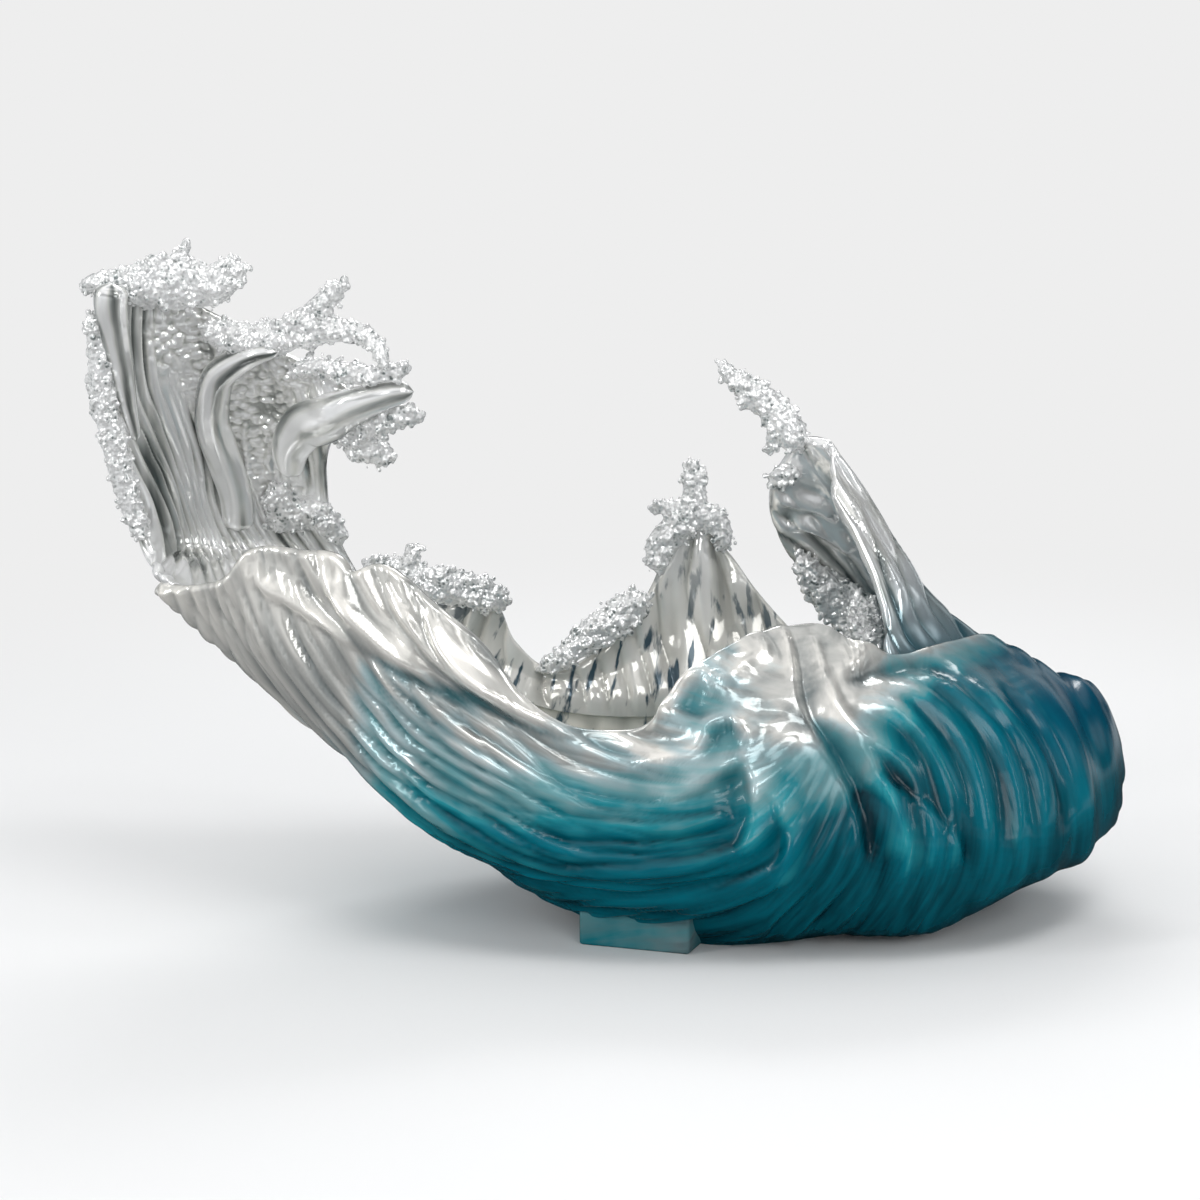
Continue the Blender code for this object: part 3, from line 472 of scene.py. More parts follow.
# %% Relief of the hull's skin
FLUTE_DEPTH, MAIN_FLUTES = 2.3, 24
FINEST_HEIGHT, LUMP_HEIGHT = 0.8, 0.7
FOLD_ZONE, FOLD_SHARE = (0.0, 30.0, 112.0, 132.0), (1.0, 0.15, 0.15, 1.0)
PLAIN_ZONE, PLAIN_SHARE = (-70.0, -20.0, 30.0), (0.0, 0.45, 0.85)
CALM_MIDDLE, CALM_SIZE, LEAST_RIPPLE = (-6.0, 104.0), (36.0, 30.0), 0.05
FLUTE_NOISE, FINEST_NOISE, LUMP_SIZE = 40, 28, 24
FINE_SHARE, CROSSING_SHARE, CROSSING_PITCH, FINEST_PITCH = 0.65, 0.5, 1.8, 1.9
STROKE_FULL, STROKE_SMOOTHING = 5, 0.8
FRONT_FADE = 15.0
LEAST_WALL = 3.5


def calm(points):
    """Near 0 on the smooth front shoulder, rising to 1 away from it."""
    off = (points[:, [0, 2]] - CALM_MIDDLE) / CALM_SIZE
    far = np.linalg.norm(off, axis=1)
    return np.where(points[:, 1] < 0, np.clip((far - 0.6) / 0.8, LEAST_RIPPLE, 1), 1)


def hull_relief(skin, level):
    """How far each point of the skin stands out, in mm, and how high its ridge is for the colour,
    which paints a highlight on the crowns and shade in the valleys. The forms are the solid
    model's flutes and strokes, then ridges of three sizes, which are weak where the folds and the
    shoulder are smooth."""
    front = np.clip(-skin[:, 1] / FRONT_FADE, 0, 1)
    share = 1 - front * (1 - np.interp(skin[:, 0], FOLD_ZONE, FOLD_SHARE))
    uneven = 0.75 + 0.5 * rough(skin, FLUTE_NOISE, seed=41)
    height = FLUTE_DEPTH * share * main_flutes(skin, MAIN_FLUTES) * uneven
    strokes = raised_by(skin, STROKES.values())
    small = raised_by(skin, FINE_STROKES.values())
    height = (height + front * (strokes + small)) * np.minimum(1, level)
    turn, reach = flow(skin)
    plain = calm(skin) * (1 - front * np.interp(skin[:, 0], PLAIN_ZONE, PLAIN_SHARE))
    plain *= 1 - front * np.clip(np.abs(strokes) / STROKE_FULL, 0, STROKE_SMOOTHING)
    fine = FINE_SHARE * ridges(skin, turn, reach, FINE_PITCH, seed=3)
    crossed = turn + CROSSING * reach
    crossing = ridges(skin, crossed, reach, CROSSING_PITCH * FINE_PITCH, seed=8)
    fine = (fine + CROSSING_SHARE * crossing) * plain
    finest = ridges(skin, turn, reach, FINE_PITCH / FINEST_PITCH, seed=13) * plain**2
    finest *= np.clip(0.3 + 1.5 * rough(skin, FINEST_NOISE, seed=31), 0, 1) * front
    height += (FINE_HEIGHT * fine + FINEST_HEIGHT * finest) * np.clip(0.25 + level, 0, 1)
    height += LUMP_HEIGHT * rough(skin, LUMP_SIZE, seed=5) * (0.4 + 0.6 * calm(skin))
    # shown is the ridge height that the colour turns into painted highlights on the crowns and
    # painted shade in the valleys.
    shown = 0.6 * fine + 0.35 * finest + front * (strokes + 1.5 * small) / 4
    shown += 0.8 * np.clip(-tint_depth(skin), 0, 0.5)
    return np.maximum(height, LEAST_WALL - hull_thickness(level)), shown


print("flutes:", FLUTE_DEPTH, "mm deep, with a wall of", LEAST_WALL, "mm or more left")

# %% [markdown]
# Four numbers at each point steer the colour: how high its ridge stands, which paints a highlight
# on the crowns and shade in the valleys, how deep the tint is, how far the point lies on the
# inside of the far wall, which gets painted backlight in cream and painted dark streaks, and how
# far up and right it lies, where the tint leans to blue. On the far wall's inside the tint starts
# at the floor and soon runs out.

# %% Keep the tint
FAR_WALL, FAR_WALL_FADE = -20.0, 60.0
INNER_TINT_TOP, INNER_TINT_FADE = 45.0, 60.0
NEAR_WALL_THINNER = 0.4
BLUE_FROM, BLUE_FADE = (75.0, 70.0), (45.0, 40.0)


def keep_tint(hull, points, inner):
    """Stores the tint of the hull, how far each point lies on the far wall's inside, which gets
    painted backlight in cream and painted dark streaks, and its blue right end.
    """
    tint = tint_depth(points)
    far_wall = rise(points[:, 1], FAR_WALL, FAR_WALL_FADE)
    inner_tint = far_wall * (INNER_TINT_TOP - points[:, 2]) / INNER_TINT_FADE
    inner_tint += (1 - far_wall) * (tint - NEAR_WALL_THINNER)
    keep_value(hull, "tint", np.where(inner, inner_tint, tint))
    keep_value(hull, "hollow", inner * far_wall)
    right, up = rise(points[:, [0, 2]], BLUE_FROM, BLUE_FADE).T
    keep_value(hull, "blue", right * up)


print("the tint leans to blue right of x =", BLUE_FROM[0], "mm")

# %% [markdown]
# The mesh is laid out in rows from the base up the skin, over the lip, down the
# hollow and in across its floor. The front has more columns to a rib than the back,
# because the finest ridges are only there. Inside, low ripples spread from a point
# high above the back, as where the mould was brushed with resin before the pour.
# They fade out near the floor, which is smooth because the resin settled there.

# %% Build the hull
HULL_COLUMNS, FRONT_COLUMNS, FRONT_RIBS = 490, 340, 9
SKIN_ROWS, LIP_ROWS, HOLLOW_ROWS, FLOOR_ROWS = 146, 5, 42, 9
FLOOR_LEVEL, FLOOR_FADE = 0.4, 0.8
LIP_HEIGHT, LIP_STEP = 2.2, 0.05
RIPPLE_PITCH = 12.0


def skin_rows(ribs):
    """Rows of points up the outer skin, and their ridges."""
    levels = np.linspace(0, RIM_LEVEL, SKIN_ROWS)
    skin = np.concatenate([hull_skin(ribs, level) for level in levels])
    normals = np.concatenate([hull_normal(ribs, level) for level in levels])
    height, shown = hull_relief(skin, np.repeat(levels, HULL_COLUMNS))
    outer = (skin + normals * height[:, None]).reshape(SKIN_ROWS, HULL_COLUMNS, 3)
    outer[0, :, 2] = 0
    outer[..., 2] = np.maximum(outer[..., 2], 0)
    return list(outer), list(shown.reshape(SKIN_ROWS, HULL_COLUMNS))


def lip_rows(ribs, edge):
    """Rows of points over the rounded lip, from the skin's edge inwards."""
    rim, inwards = hull_skin(ribs, RIM_LEVEL), -hull_normal(ribs, RIM_LEVEL)
    climb = unit(rim - hull_skin(ribs, RIM_LEVEL - LIP_STEP))
    inner_rim = rim + inwards * hull_thickness(RIM_LEVEL)
    rows = []
    for turned in np.linspace(0, math.pi, LIP_ROWS + 2)[1:-1]:
        across = (1 - math.cos(turned)) / 2
        over = climb * LIP_HEIGHT * math.sin(turned)
        rows.append(edge * (1 - across) + inner_rim * across + over)
    return rows


def hollow_rows(ribs):
    """Rows of points down the hollow and in across its floor, and their ripples."""
    rows, values = [], []
    for level in np.linspace(RIM_LEVEL, FLOOR_LEVEL, HOLLOW_ROWS):
        skin = hull_skin(ribs, level) - hull_normal(ribs, level) * hull_thickness(level)
        ripple = ridges(skin, *fan(skin), RIPPLE_PITCH, seed=9)
        ripple *= min(1.0, 2 * (RIM_LEVEL - level))
        ripple *= min(1.0, (level - FLOOR_LEVEL) / FLOOR_FADE)
        rows.append(skin - hull_normal(ribs, level) * ripple[:, None])
        values.append(ripple)
    for inwards in np.linspace(0, 1, FLOOR_ROWS + 2)[1:-1]:
        rows.append(skin * (1 - inwards) + skin.mean(axis=0) * inwards)
        values.append(np.zeros(HULL_COLUMNS))
    return rows, values


def build_hull():
    """The whole casting as one closed mesh, with what its material reads."""
    ribs = np.interp(np.arange(HULL_COLUMNS), (0, FRONT_COLUMNS, HULL_COLUMNS),
                     (0, FRONT_RIBS, RIBS))
    outside, ridge = skin_rows(ribs)
    lip = lip_rows(ribs, outside[-1])
    inside, ripple = hollow_rows(ribs)
    rows = outside + lip + inside
    points = np.vstack([np.concatenate(rows), rows[-1].mean(axis=0)])
    faces = grid_faces(HULL_COLUMNS, len(rows), True)
    faces.append(tuple(reversed(range(HULL_COLUMNS))))
    top = (len(rows) - 1) * HULL_COLUMNS
    for c in range(HULL_COLUMNS):
        faces.append((top + c, top + (c + 1) % HULL_COLUMNS, len(points) - 1))
    hull = mesh_object("cast_hull", points, faces)
    inner = np.arange(len(points)) >= (SKIN_ROWS + LIP_ROWS) * HULL_COLUMNS
    keep_flow(hull, points, np.where(inner, fan(points), flow(points)))
    values = ridge + [ridge[-1]] * LIP_ROWS + ripple
    keep_value(hull, "ridge", np.append(np.concatenate(values), 0))
    keep_tint(hull, points, inner)
    return hull


hull = build_hull()
print("hull:", len(hull.data.polygons), "faces")

# %% [markdown]
# ## The foot
#
# A small block under the prow keeps the wave from tipping. It was cast from the same
# tinted resin, stands a little proud of the hull, and had its edges eased by hand.

# %% Build the foot
FOOT_SIZE = (54.0, 40.0, 21.0)
FOOT_NEAR_MIDDLE = (-80.5, -83.0)
FOOT_TURN = math.radians(-19.4)
FOOT_EDGE = 1.6
FOOT_TINT = 0.6


def apply_modifiers(piece):
    """The piece with its modifiers turned into mesh."""
    graph = bpy.context.evaluated_depsgraph_get()
    made = bpy.data.meshes.new_from_object(piece.evaluated_get(graph))
    piece.modifiers.clear()
    piece.data = made


def build_foot():
    """A block turned in line with the prow's side, with its edges eased."""
    long, deep, high = FOOT_SIZE
    across = np.array([math.cos(FOOT_TURN), math.sin(FOOT_TURN), 0])
    inwards = np.array([-math.sin(FOOT_TURN), math.cos(FOOT_TURN), 0])
    corners = [
        np.array([*FOOT_NEAR_MIDDLE, z]) + across * x * long / 2 + inwards * y * deep
        for z in (0, high) for x, y in ((-1, 0), (1, 0), (1, 1), (-1, 1))
    ]
    faces = [(3, 2, 1, 0), (4, 5, 6, 7)]
    faces += [(a, (a + 1) % 4, (a + 1) % 4 + 4, a + 4) for a in range(4)]
    foot = mesh_object("cast_foot", corners, faces, smooth=False)
    edge = foot.modifiers.new("eased", "BEVEL")
    edge.width = FOOT_EDGE * MM
    edge.segments = 4
    apply_modifiers(foot)
    points = np.array([v.co for v in foot.data.vertices]) / MM
    foot.data.shade_smooth()
    foot.data.set_sharp_from_angle(angle=math.radians(40))
    keep_flow(foot, points, flow(points))
    for value, amount in {"ridge": 0, "tint": FOOT_TINT, "hollow": 0, "blue": 0}.items():
        keep_value(foot, value, np.full(len(points), amount))
    return foot


foot = build_foot()
print("foot:", FOOT_SIZE, "mm")

# %% [markdown]
# ## The crests
#
# The three crests are clear sheets that stand in a rebate 2.4 mm deep in the hull's
# inner face, under the rim. Each is lofted from there up through rings of its own, and
# given a thickness that rounds off at its free edges. Long pleats run up them. On the
# tall crest they come out of the same knot as the hull's flutes, on the back crest and
# the horn out of points of their own.
#
# A few folds were again modelled one by one: the thick pleats at the left of the tall
# crest, the cross folds on the horn's open side and the grooves down its spine. They
# are strokes like those on the hull, on the crest's inner face or on its outer one.

# %% Crest sheets
CRESTS = {
    "tall_crest": {
        "wall": 5.5, "columns": 230, "rows": 190,
        "pleat": 1.3, "pitch": 11.0, "lump": 34.0, "lump_height": 1.4,
        "rings": [
            [(14.36, -224, 58, 168), (14.8, -246, 62, 167), (15.3, -275, 54, 165),
             (15.75, -302, 34, 168), (16.2, -314, -2, 172)],
            [(14.36, -229, 34, 206), (14.9, -262, 48, 207), (15.5, -297, 42, 208),
             (16.2, -324, 0, 213)],
            [(14.36, -210, -4, 250), (14.7, -230, 2, 261), (15.1, -258, 8, 275),
             (15.4, -280, 11, 287), (15.8, -305, 8, 298), (16.2, -330, -8, 298)],
        ],
    },
    "back_crest": {
        "wall": 5.5, "columns": 250, "rows": 80,
        "pleat": 1.3, "pitch": 11.0, "lump": 18.0, "lump_height": 0.8,
        "rings": [
            [(11.35, 16, 97, 104), (11.8, -2, 107, 108), (12.3, -38, 113, 118),
             (12.8, -75, 111, 101), (12.95, -91, 108, 93), (13.2, -113, 103, 89),
             (13.5, -136, 97, 94), (13.7, -146, 93, 104), (14.3, -184, 80, 118)],
            [(11.35, 12, 100, 108), (11.6, 1, 107, 117), (11.85, -16, 112, 136),
             (12.1, -31, 114, 156), (12.3, -46, 114, 169), (12.42, -53, 114, 169),
             (12.6, -63, 113, 152), (12.8, -77, 110, 126), (12.95, -97, 106, 106),
             (13.2, -121, 101, 97), (13.35, -132, 98, 103), (13.5, -140, 94, 113),
             (13.7, -146, 91, 128), (14.3, -182, 79, 135)],
        ],
    },
    "horn": {
        "wall": 5.0, "columns": 150, "rows": 120,
        "pleat": 1.0, "pitch": 9.0, "lump": 17.0, "lump_height": 1.2,
        "rings": [
            [(8.4, 38, -35, 154), (9.0, 55, -14, 158), (9.7, 59, 16, 155),
             (10.1, 56, 34, 146), (10.4, 50, 48, 138), (10.75, 34, 62, 122)],
            [(8.4, 28, -20, 180), (9.0, 33, -2, 193), (9.7, 31, 17, 197),
             (10.1, 28, 34, 182), (10.4, 18, 46, 170), (10.75, 12, 57, 145)],
            [(8.4, 16, -8, 202), (9.0, 15, 2, 216), (9.4, 14, 8, 226), (9.7, 3, 15, 227),
             (10.1, -8, 26, 214), (10.4, -13, 36, 200), (10.6, -11, 45, 183),
             (10.75, -2, 52, 164)],
        ],
    },
}
CREST_STROKES = {
    "tall_crest": [
        ([(-321, 276), (-317, 245), (-308, 214), (-297, 187)], 2.6, 2.4, 0.4),
        ([(-312, 284), (-309, 248), (-301, 216), (-290, 185)], 2.8, 2.8, 0.4),
        ([(-303, 282), (-301, 250), (-294, 220), (-283, 188)], 2.8, 2.6, 0.4),
        ([(-293, 250), (-291, 225), (-286, 200), (-277, 178)], 3.0, -2.2, 0.0),
        ([(-266, 240), (-268, 218), (-266, 196), (-260, 178)], 3.4, 2.8, 0.3),
        ([(-256, 232), (-258, 214), (-256, 198)], 3.0, 2.2, 0.3),
    ],
    "back_crest": [
        ([(-47, 166), (-45, 145), (-42, 120), (-40, 104)], 3.4, 2.2, 0.2),
        ([(-60, 146), (-59, 125), (-57, 104)], 3.0, -2.0, 0.0),
        ([(-30, 146), (-28, 128), (-27, 112)], 3.0, 2.0, 0.2),
    ],
    "horn": [
        ([(2, 220), (14, 205), (27, 185), (38, 166), (50, 146)], 4.2, 3.4, 0.3),
        ([(12, 212), (24, 194), (36, 174), (48, 154)], 3.0, -2.6, 0.0),
        ([(-10, 196), (2, 192), (12, 190), (22, 184)], 3.6, 5.0, 0.4),
        ([(-6, 180), (6, 180), (18, 175), (30, 165)], 3.8, 5.2, 0.4),
        ([(-8, 210), (-9, 198), (-8, 186), (-3, 172)], 3.4, 2.6, 0.0),
        ([(-2, 202), (6, 200), (12, 197)], 4.0, -2.4, 0.0),
    ],
}
SPINE_STROKES = [
    ([(6, 224), (20, 202), (34, 180), (46, 160)], 2.6, 2.2, 0.3),
    ([(12, 226), (28, 200), (42, 176), (54, 158)], 2.2, -1.8, 0.0),
    ([(18, 222), (32, 198), (46, 176), (58, 160)], 2.2, 1.6, 0.0),
    ([(14, 208), (20, 196), (30, 186)], 2.4, -1.6, 0.3),
]
REBATE = 2.4
LAP = 0.42
EDGE_ROUND = 3.0
CALM_BELOW, RELIEF_FADE = 8, 12


def crest_sheet(name, columns, rows):
    """(outer, normals, above) of a crest, as grids of points. Above is 0 in the rebate
    of the hull and soon 1 over the rim, where the relief is full."""
    rings = CRESTS[name]["rings"]
    ribs = np.linspace(rings[0][0][0], rings[0][-1][0], columns)
    stack = []
    for level in (RIM_LEVEL - LAP, RIM_LEVEL - LAP / 2, RIM_LEVEL):
        inset = hull_thickness(level) - REBATE
        stack.append(hull_skin(ribs, level) - hull_normal(ribs, level) * inset)
    stack = np.stack(stack + [ring_points(ring, ribs) for ring in rings])
    run = run_along(stack).mean(axis=1)
    at = np.linspace(0, run[-1], rows)
    outer = np.stack([smooth_curve(run, stack[:, c], at) for c in range(columns)], axis=1)
    normals = unit(np.cross(np.gradient(outer, axis=1), np.gradient(outer, axis=0)))
    above = rise(at, run[2] - CALM_BELOW, RELIEF_FADE)
    return outer, normals, above[:, None] * np.ones(columns)


def edge_share(outer):
    """The share of the wall left near the free edges, which are rounded off."""
    across, up = run_along(outer.swapaxes(0, 1)).T, run_along(outer)
    near = np.minimum(np.minimum(across, across[:, -1:] - across), up[-1:] - up)
    inside = np.clip(near / EDGE_ROUND, 0.05, 1)
    return np.sqrt(1 - (1 - inside) ** 2)


def sheet_object(name, outer, inner, rises):
    """A closed sheet between two grids of points, with the ridges of both faces."""
    rows, columns = outer.shape[:2]
    size = rows * columns
    faces = grid_faces(columns, rows, False)
    faces += [tuple(i + size for i in reversed(f)) for f in faces]
    border = list(range(columns))
    border += [r * columns + columns - 1 for r in range(1, rows)]
    border += [size - 1 - c for c in range(1, columns)]
    border += [r * columns for r in range(rows - 2, 0, -1)]
    for a, b in zip(border, border[1:] + border[:1], strict=True):
        faces.append((b, a, a + size, b + size))
    points = np.concatenate([outer.reshape(-1, 3), inner.reshape(-1, 3)])
    piece = mesh_object(name, points, faces)
    keep_value(piece, "ridge", np.concatenate([r.ravel() for r in rises]))
    return piece


print("crests:", ", ".join(CRESTS), "with walls of", [c["wall"] for c in CRESTS.values()], "mm")

# %% [markdown]
# Between its tongues the tall crest's face is covered in small bright bumps, as foam leaves them:
# paler resin, with a painted highlight on each crown and painted shade between them. They are
# given as soft round patches on the face. Inside a patch the pleats give way to bumps, one for
# each cell about 5 mm wide and 3 mm high.

# %% Bumps between the tongues
BUMP_PATCHES = [
    (-290, 262, 14, 22), (-300, 272, 14, 18), (-276, 256, 10, 18), (-262, 250, 14, 16),
    (-268, 236, 12, 18), (-262, 222, 10, 14), (-252, 240, 12, 16), (-240, 262, 12, 10),
    (-262, 205, 10, 12), (-246, 196, 12, 12), (-286, 284, 20, 10),
]
BUMP_CELL = (5.2, 5.2, 2.8)
BUMP_HEIGHT, BUMP_REACH = 2.0, 0.75
CELL_SHIFT = (3.7, 11.1, 7.9)


def patch_share(points):
    """1 inside the bumpy patches, fading to 0 outside them."""
    share = np.zeros(len(points))
    for x, z, wide, high in BUMP_PATCHES:
        off = np.hypot((points[:, 0] - x) / wide, (points[:, 2] - z) / high)
        share = np.maximum(share, np.clip(1.9 - 1.6 * off, 0, 1))
    return share


def cells(points, size, seed):
    """Rounded bumps, one for each cell of about size mm, from 0 to about 1."""
    shift = Vector([seed * each for each in CELL_SHIFT])
    flat = (points / size).reshape(-1, 3).tolist()
    found = [noise.voronoi(Vector(p) + shift)[0][0] for p in flat]
    return np.clip(1 - (np.array(found) / BUMP_REACH) ** 2, 0, 1)


print("patches with bumps:", len(BUMP_PATCHES))

# %% [markdown]
# A crest's wall thins by a quarter above the rim. Its outer face gets less of the pleats and the
# opposite of the lumps, so the wall is uneven, as in a sheet laid by hand, and bends what is seen
# through it. Like the hull, a crest keeps a few numbers at each point for its material: how the
# relief stands, for painted highlights on the crowns and painted shade between them, how bumpy it
# is, how strongly the back crest gets painted backlight in cream and painted dark streaks, and how
# much teal the foot of the horn takes up.

# %% Build the crests
HORN_MIDDLE = (115.0, 30.0)
THINNING, OUTER_PLEAT, OUTER_LUMP = 0.25, 0.6, 0.8
SHOWN_LUMP, SHOWN_STROKE, SHOWN_BUMP, SHOWN_PATCH = 0.5, 0.5, 2.6, 0.9
TINT_TOP, TINT_RISE = 182.0, 60.0
TINT_LEFT, TINT_RUN = 14.0, 36.0
STREAK_TOP, STREAK_RISE, LEAST_STREAK = 190.0, 80.0, 0.4


def crest_flow(name, points):
    """(turn, reach) of a crest's pleats: the horn and the back crest have their own."""
    if name == "tall_crest":
        return flow(points)
    return fan(points, HORN_MIDDLE if name == "horn" else FAN_MIDDLE)


def build_crest(name):
    """One crest with its relief and what its material reads."""
    crest = CRESTS[name]
    outer, normals, above = crest_sheet(name, crest["columns"], crest["rows"])
    wall = crest["wall"] * edge_share(outer) * (1 - THINNING * above)
    thick = wall / crest["wall"]
    bumpy = patch_share(outer.reshape(-1, 3)) * (name == "tall_crest")
    bumpy = bumpy.reshape(above.shape)
    pleats = ridges(outer, *crest_flow(name, outer), crest["pitch"], seed=21)
    pleats = pleats * above * (1 - bumpy)
    lumps = rough(outer, crest["lump"], seed=23) * above
    inwards = crest["pleat"] * pleats + crest["lump_height"] * lumps
    outwards = OUTER_PLEAT * crest["pleat"] * pleats
    outwards = outwards - OUTER_LUMP * crest["lump_height"] * lumps
    inner = outer - normals * (wall + inwards)[..., None]
    strokes = raised_by(inner.reshape(-1, 3), CREST_STROKES[name])
    strokes = strokes.reshape(above.shape) * above * thick
    inner = inner - normals * strokes[..., None]
    bumps = np.zeros(above.shape)
    inside = bumpy > 0
    bumps[inside] = cells(inner[inside], np.array(BUMP_CELL), seed=4) * bumpy[inside]
    inner = inner - normals * bumps[..., None] * BUMP_HEIGHT
    if name == "horn":
        spine = raised_by(outer.reshape(-1, 3), SPINE_STROKES)
        outwards = outwards + spine.reshape(above.shape) * above
    outer = outer + normals * (outwards * thick)[..., None]
    # shown paints the crowns of pleats, lumps, strokes and bumps lighter, a painted highlight, and
    # the bumpy patch darker between them, painted shade.
    shown = (pleats + SHOWN_LUMP * lumps + SHOWN_STROKE * strokes) * (1 - bumpy)
    shown = shown + SHOWN_BUMP * bumps - SHOWN_PATCH * bumpy
    piece = sheet_object("clear_" + name, outer, inner, (pleats, shown))
    points = np.concatenate([outer.reshape(-1, 3), inner.reshape(-1, 3)])
    keep_flow(piece, points, crest_flow(name, points))
    keep_value(piece, "foam", np.tile(bumpy.ravel(), 2))
    # How strongly the back crest gets painted backlight in cream and painted dark streaks,
    # strongest low down inside the bowl.
    streaks = np.clip((STREAK_TOP - points[:, 2]) / STREAK_RISE, LEAST_STREAK, 1)
    keep_value(piece, "streaks", streaks * (name == "back_crest"))
    teal = rise(TINT_TOP, points[:, 2], TINT_RISE) * rise(points[:, 0], TINT_LEFT, TINT_RUN)
    keep_value(piece, "tint", teal * (name == "horn"))
    return piece


crests = {name: build_crest(name) for name in CRESTS}
for name, piece in crests.items():
    print(name, len(piece.data.polygons), "faces")

# %% [markdown]
# ## The tongues
#
# Three tongues were pulled out of the crest while it was soft, so they are smooth and thick with a
# few long hollows. Each is an oval section swept along a curve that lies on the face of the crest
# or a little in front of it. Its points are (x, z, half the width, half the depth, lift off the
# crest). Two of them are milky at the root and painted lighter there, a painted highlight that
# gives way to a darker head, and all three have their ridges painted lighter than their hollows.

# %% Tongues as swept strands
TONGUES = {
    "tall_tongue": [
        (-317, 227, 3, 3, 0), (-320, 246, 4.5, 4, 1), (-322, 264, 6, 5, 2),
        (-324, 281, 7, 6, 4), (-325, 294, 8, 7, 7), (-324, 303, 8, 7, 9),
    ],
    "middle_tongue": [
        (-274, 176, 7.5, 5, 0), (-275, 194, 8, 6, 0), (-280, 214, 8.5, 7, 1),
        (-284, 231, 8.5, 8, 2), (-283, 243, 8.5, 8, 3), (-279, 255, 8, 8, 4),
        (-268, 264, 6.5, 7, 6), (-256, 269, 4.5, 5, 7), (-248, 270, 2.5, 3, 8),
    ],
    "broad_tongue": [
        (-247, 206, 6, 5, 0), (-245, 221, 9.5, 7, 1), (-238, 232, 11.5, 8, 2),
        (-226, 238, 11.5, 8, 4), (-214, 244, 9, 8, 5), (-203, 248, 7.5, 7, 6),
        (-192, 251, 6, 5, 7), (-184, 252, 4, 4, 8),
    ],
}
TONGUE_SIDES, TONGUE_SIDE, TONGUE_STEP, TONGUE_HOLLOWS = 48, 0.9, 1.0, 0.05
# The root is milky and painted lighter, a painted highlight that fades to a darker head.
ROOT_MILK_AND_HIGHLIGHT, MOST_MILK_AND_HIGHLIGHT = 1.3, 1.1
SHEET_GRID, NEAREST = (60, 50), 4
SHEETS = {}


def on_crest(name, x, z):
    """The y of a crest's inner face at (x, z) as seen from the front."""
    if name not in SHEETS:
        outer, normals, _ = crest_sheet(name, *SHEET_GRID)
        SHEETS[name] = (outer - normals * CRESTS[name]["wall"]).reshape(-1, 3)
    face = SHEETS[name]
    away = np.hypot(face[:, 0] - x, face[:, 2] - z)
    nearest = np.argsort(away)[:NEAREST]
    weights = 1 / (away[nearest] ** 2 + 1)
    return float(weights @ face[nearest, 1] / weights.sum())


STRAND_RIDGES, HOLLOW_TWIST, LUMP_TWIST = 5, 0.06, 0.35
STRAND_END = 5.0


def strand(path, sides, step, hollows=0.0, lump=0.0, seed=0.0):
    """(points, faces, along) of an oval section swept along (x, y, z, half the width,
    half the depth), with long hollows and lumps that twist round it."""
    path = np.asarray(path, float)
    run = run_along(path[:, :3])
    line = smooth_curve(run, path, np.linspace(0, run[-1], max(6, round(run[-1] / step)) + 1))
    order = np.arange(len(line))
    ends = np.clip(np.minimum(order, order[::-1]) * step / STRAND_END, 0, 1)
    line[:, 3:] *= np.sqrt(np.clip(1 - (1 - ends) ** 2, 0.05, 1))[:, None]
    tangent = unit(np.gradient(line[:, :3], axis=0))
    deep = unit(np.array([0.0, 1.0, 0.0]) - tangent * tangent[:, 1:2])
    wide = np.cross(tangent, deep)
    angles = np.arange(sides) * 2 * math.pi / sides
    points = []
    for k, (x, y, z, half_width, half_depth) in enumerate(line):
        swell = 1 + hollows * np.cos(STRAND_RIDGES * angles + HOLLOW_TWIST * k * step)
        swell = swell + lump * np.sin(STRAND_RIDGES * angles + LUMP_TWIST * k * step + seed)
        across = half_width * swell * np.cos(angles)
        through = half_depth * swell * np.sin(angles)
        points.append([x, y, z] + wide[k] * across[:, None] + deep[k] * through[:, None])
    faces = grid_faces(sides, len(points), True)
    start = len(points) * sides
    for c in range(sides):
        after = (c + 1) % sides
        faces.append((after, c, start))
        faces.append((start - sides + c, start - sides + after, start + 1))
    ends = [line[0, :3] - tangent[0] * 0.5, line[-1, :3] + tangent[-1] * 0.5]
    along = np.concatenate([np.repeat(np.linspace(0, run[-1], len(line)), sides), [0, run[-1]]])
    return np.vstack([np.concatenate(points), ends]), faces, along


def build_tongue(name):
    """One tongue, which keeps how milky and how brightly painted it is at each point: milky resin
    and a painted highlight at the root.
    """
    path = [
        (x, on_crest("tall_crest", x, z) - lift, z, wide, deep)
        for x, z, wide, deep, lift in TONGUES[name]
    ]
    points, faces, along = strand(path, TONGUE_SIDES, TONGUE_STEP, hollows=TONGUE_HOLLOWS)
    piece = mesh_object("pulled_" + name, points, faces)
    around = np.arange(len(points)) % TONGUE_SIDES
    keep_flow(piece, points, (around * TONGUE_SIDE / FLOW_REACH, along), knotted=0.0)
    # Ridges round the tongue, which the colour paints lighter than its hollows: a painted
    # highlight.
    keep_value(piece, "ridge", np.cos(STRAND_RIDGES * around * 2 * math.pi / TONGUE_SIDES))
    low, high = points[:, 2].min(), points[:, 2].max()
    # Lighter and milky towards the root: milky resin and a painted highlight.
    white = np.clip(ROOT_MILK_AND_HIGHLIGHT * (high - points[:, 2]) / (high - low), 0, MOST_MILK_AND_HIGHLIGHT)
    keep_value(piece, "white", white * (name != "tall_tongue"))
    return piece


tongues = {name: build_tongue(name) for name in TONGUES}
print("tongues:", ", ".join(tongues))

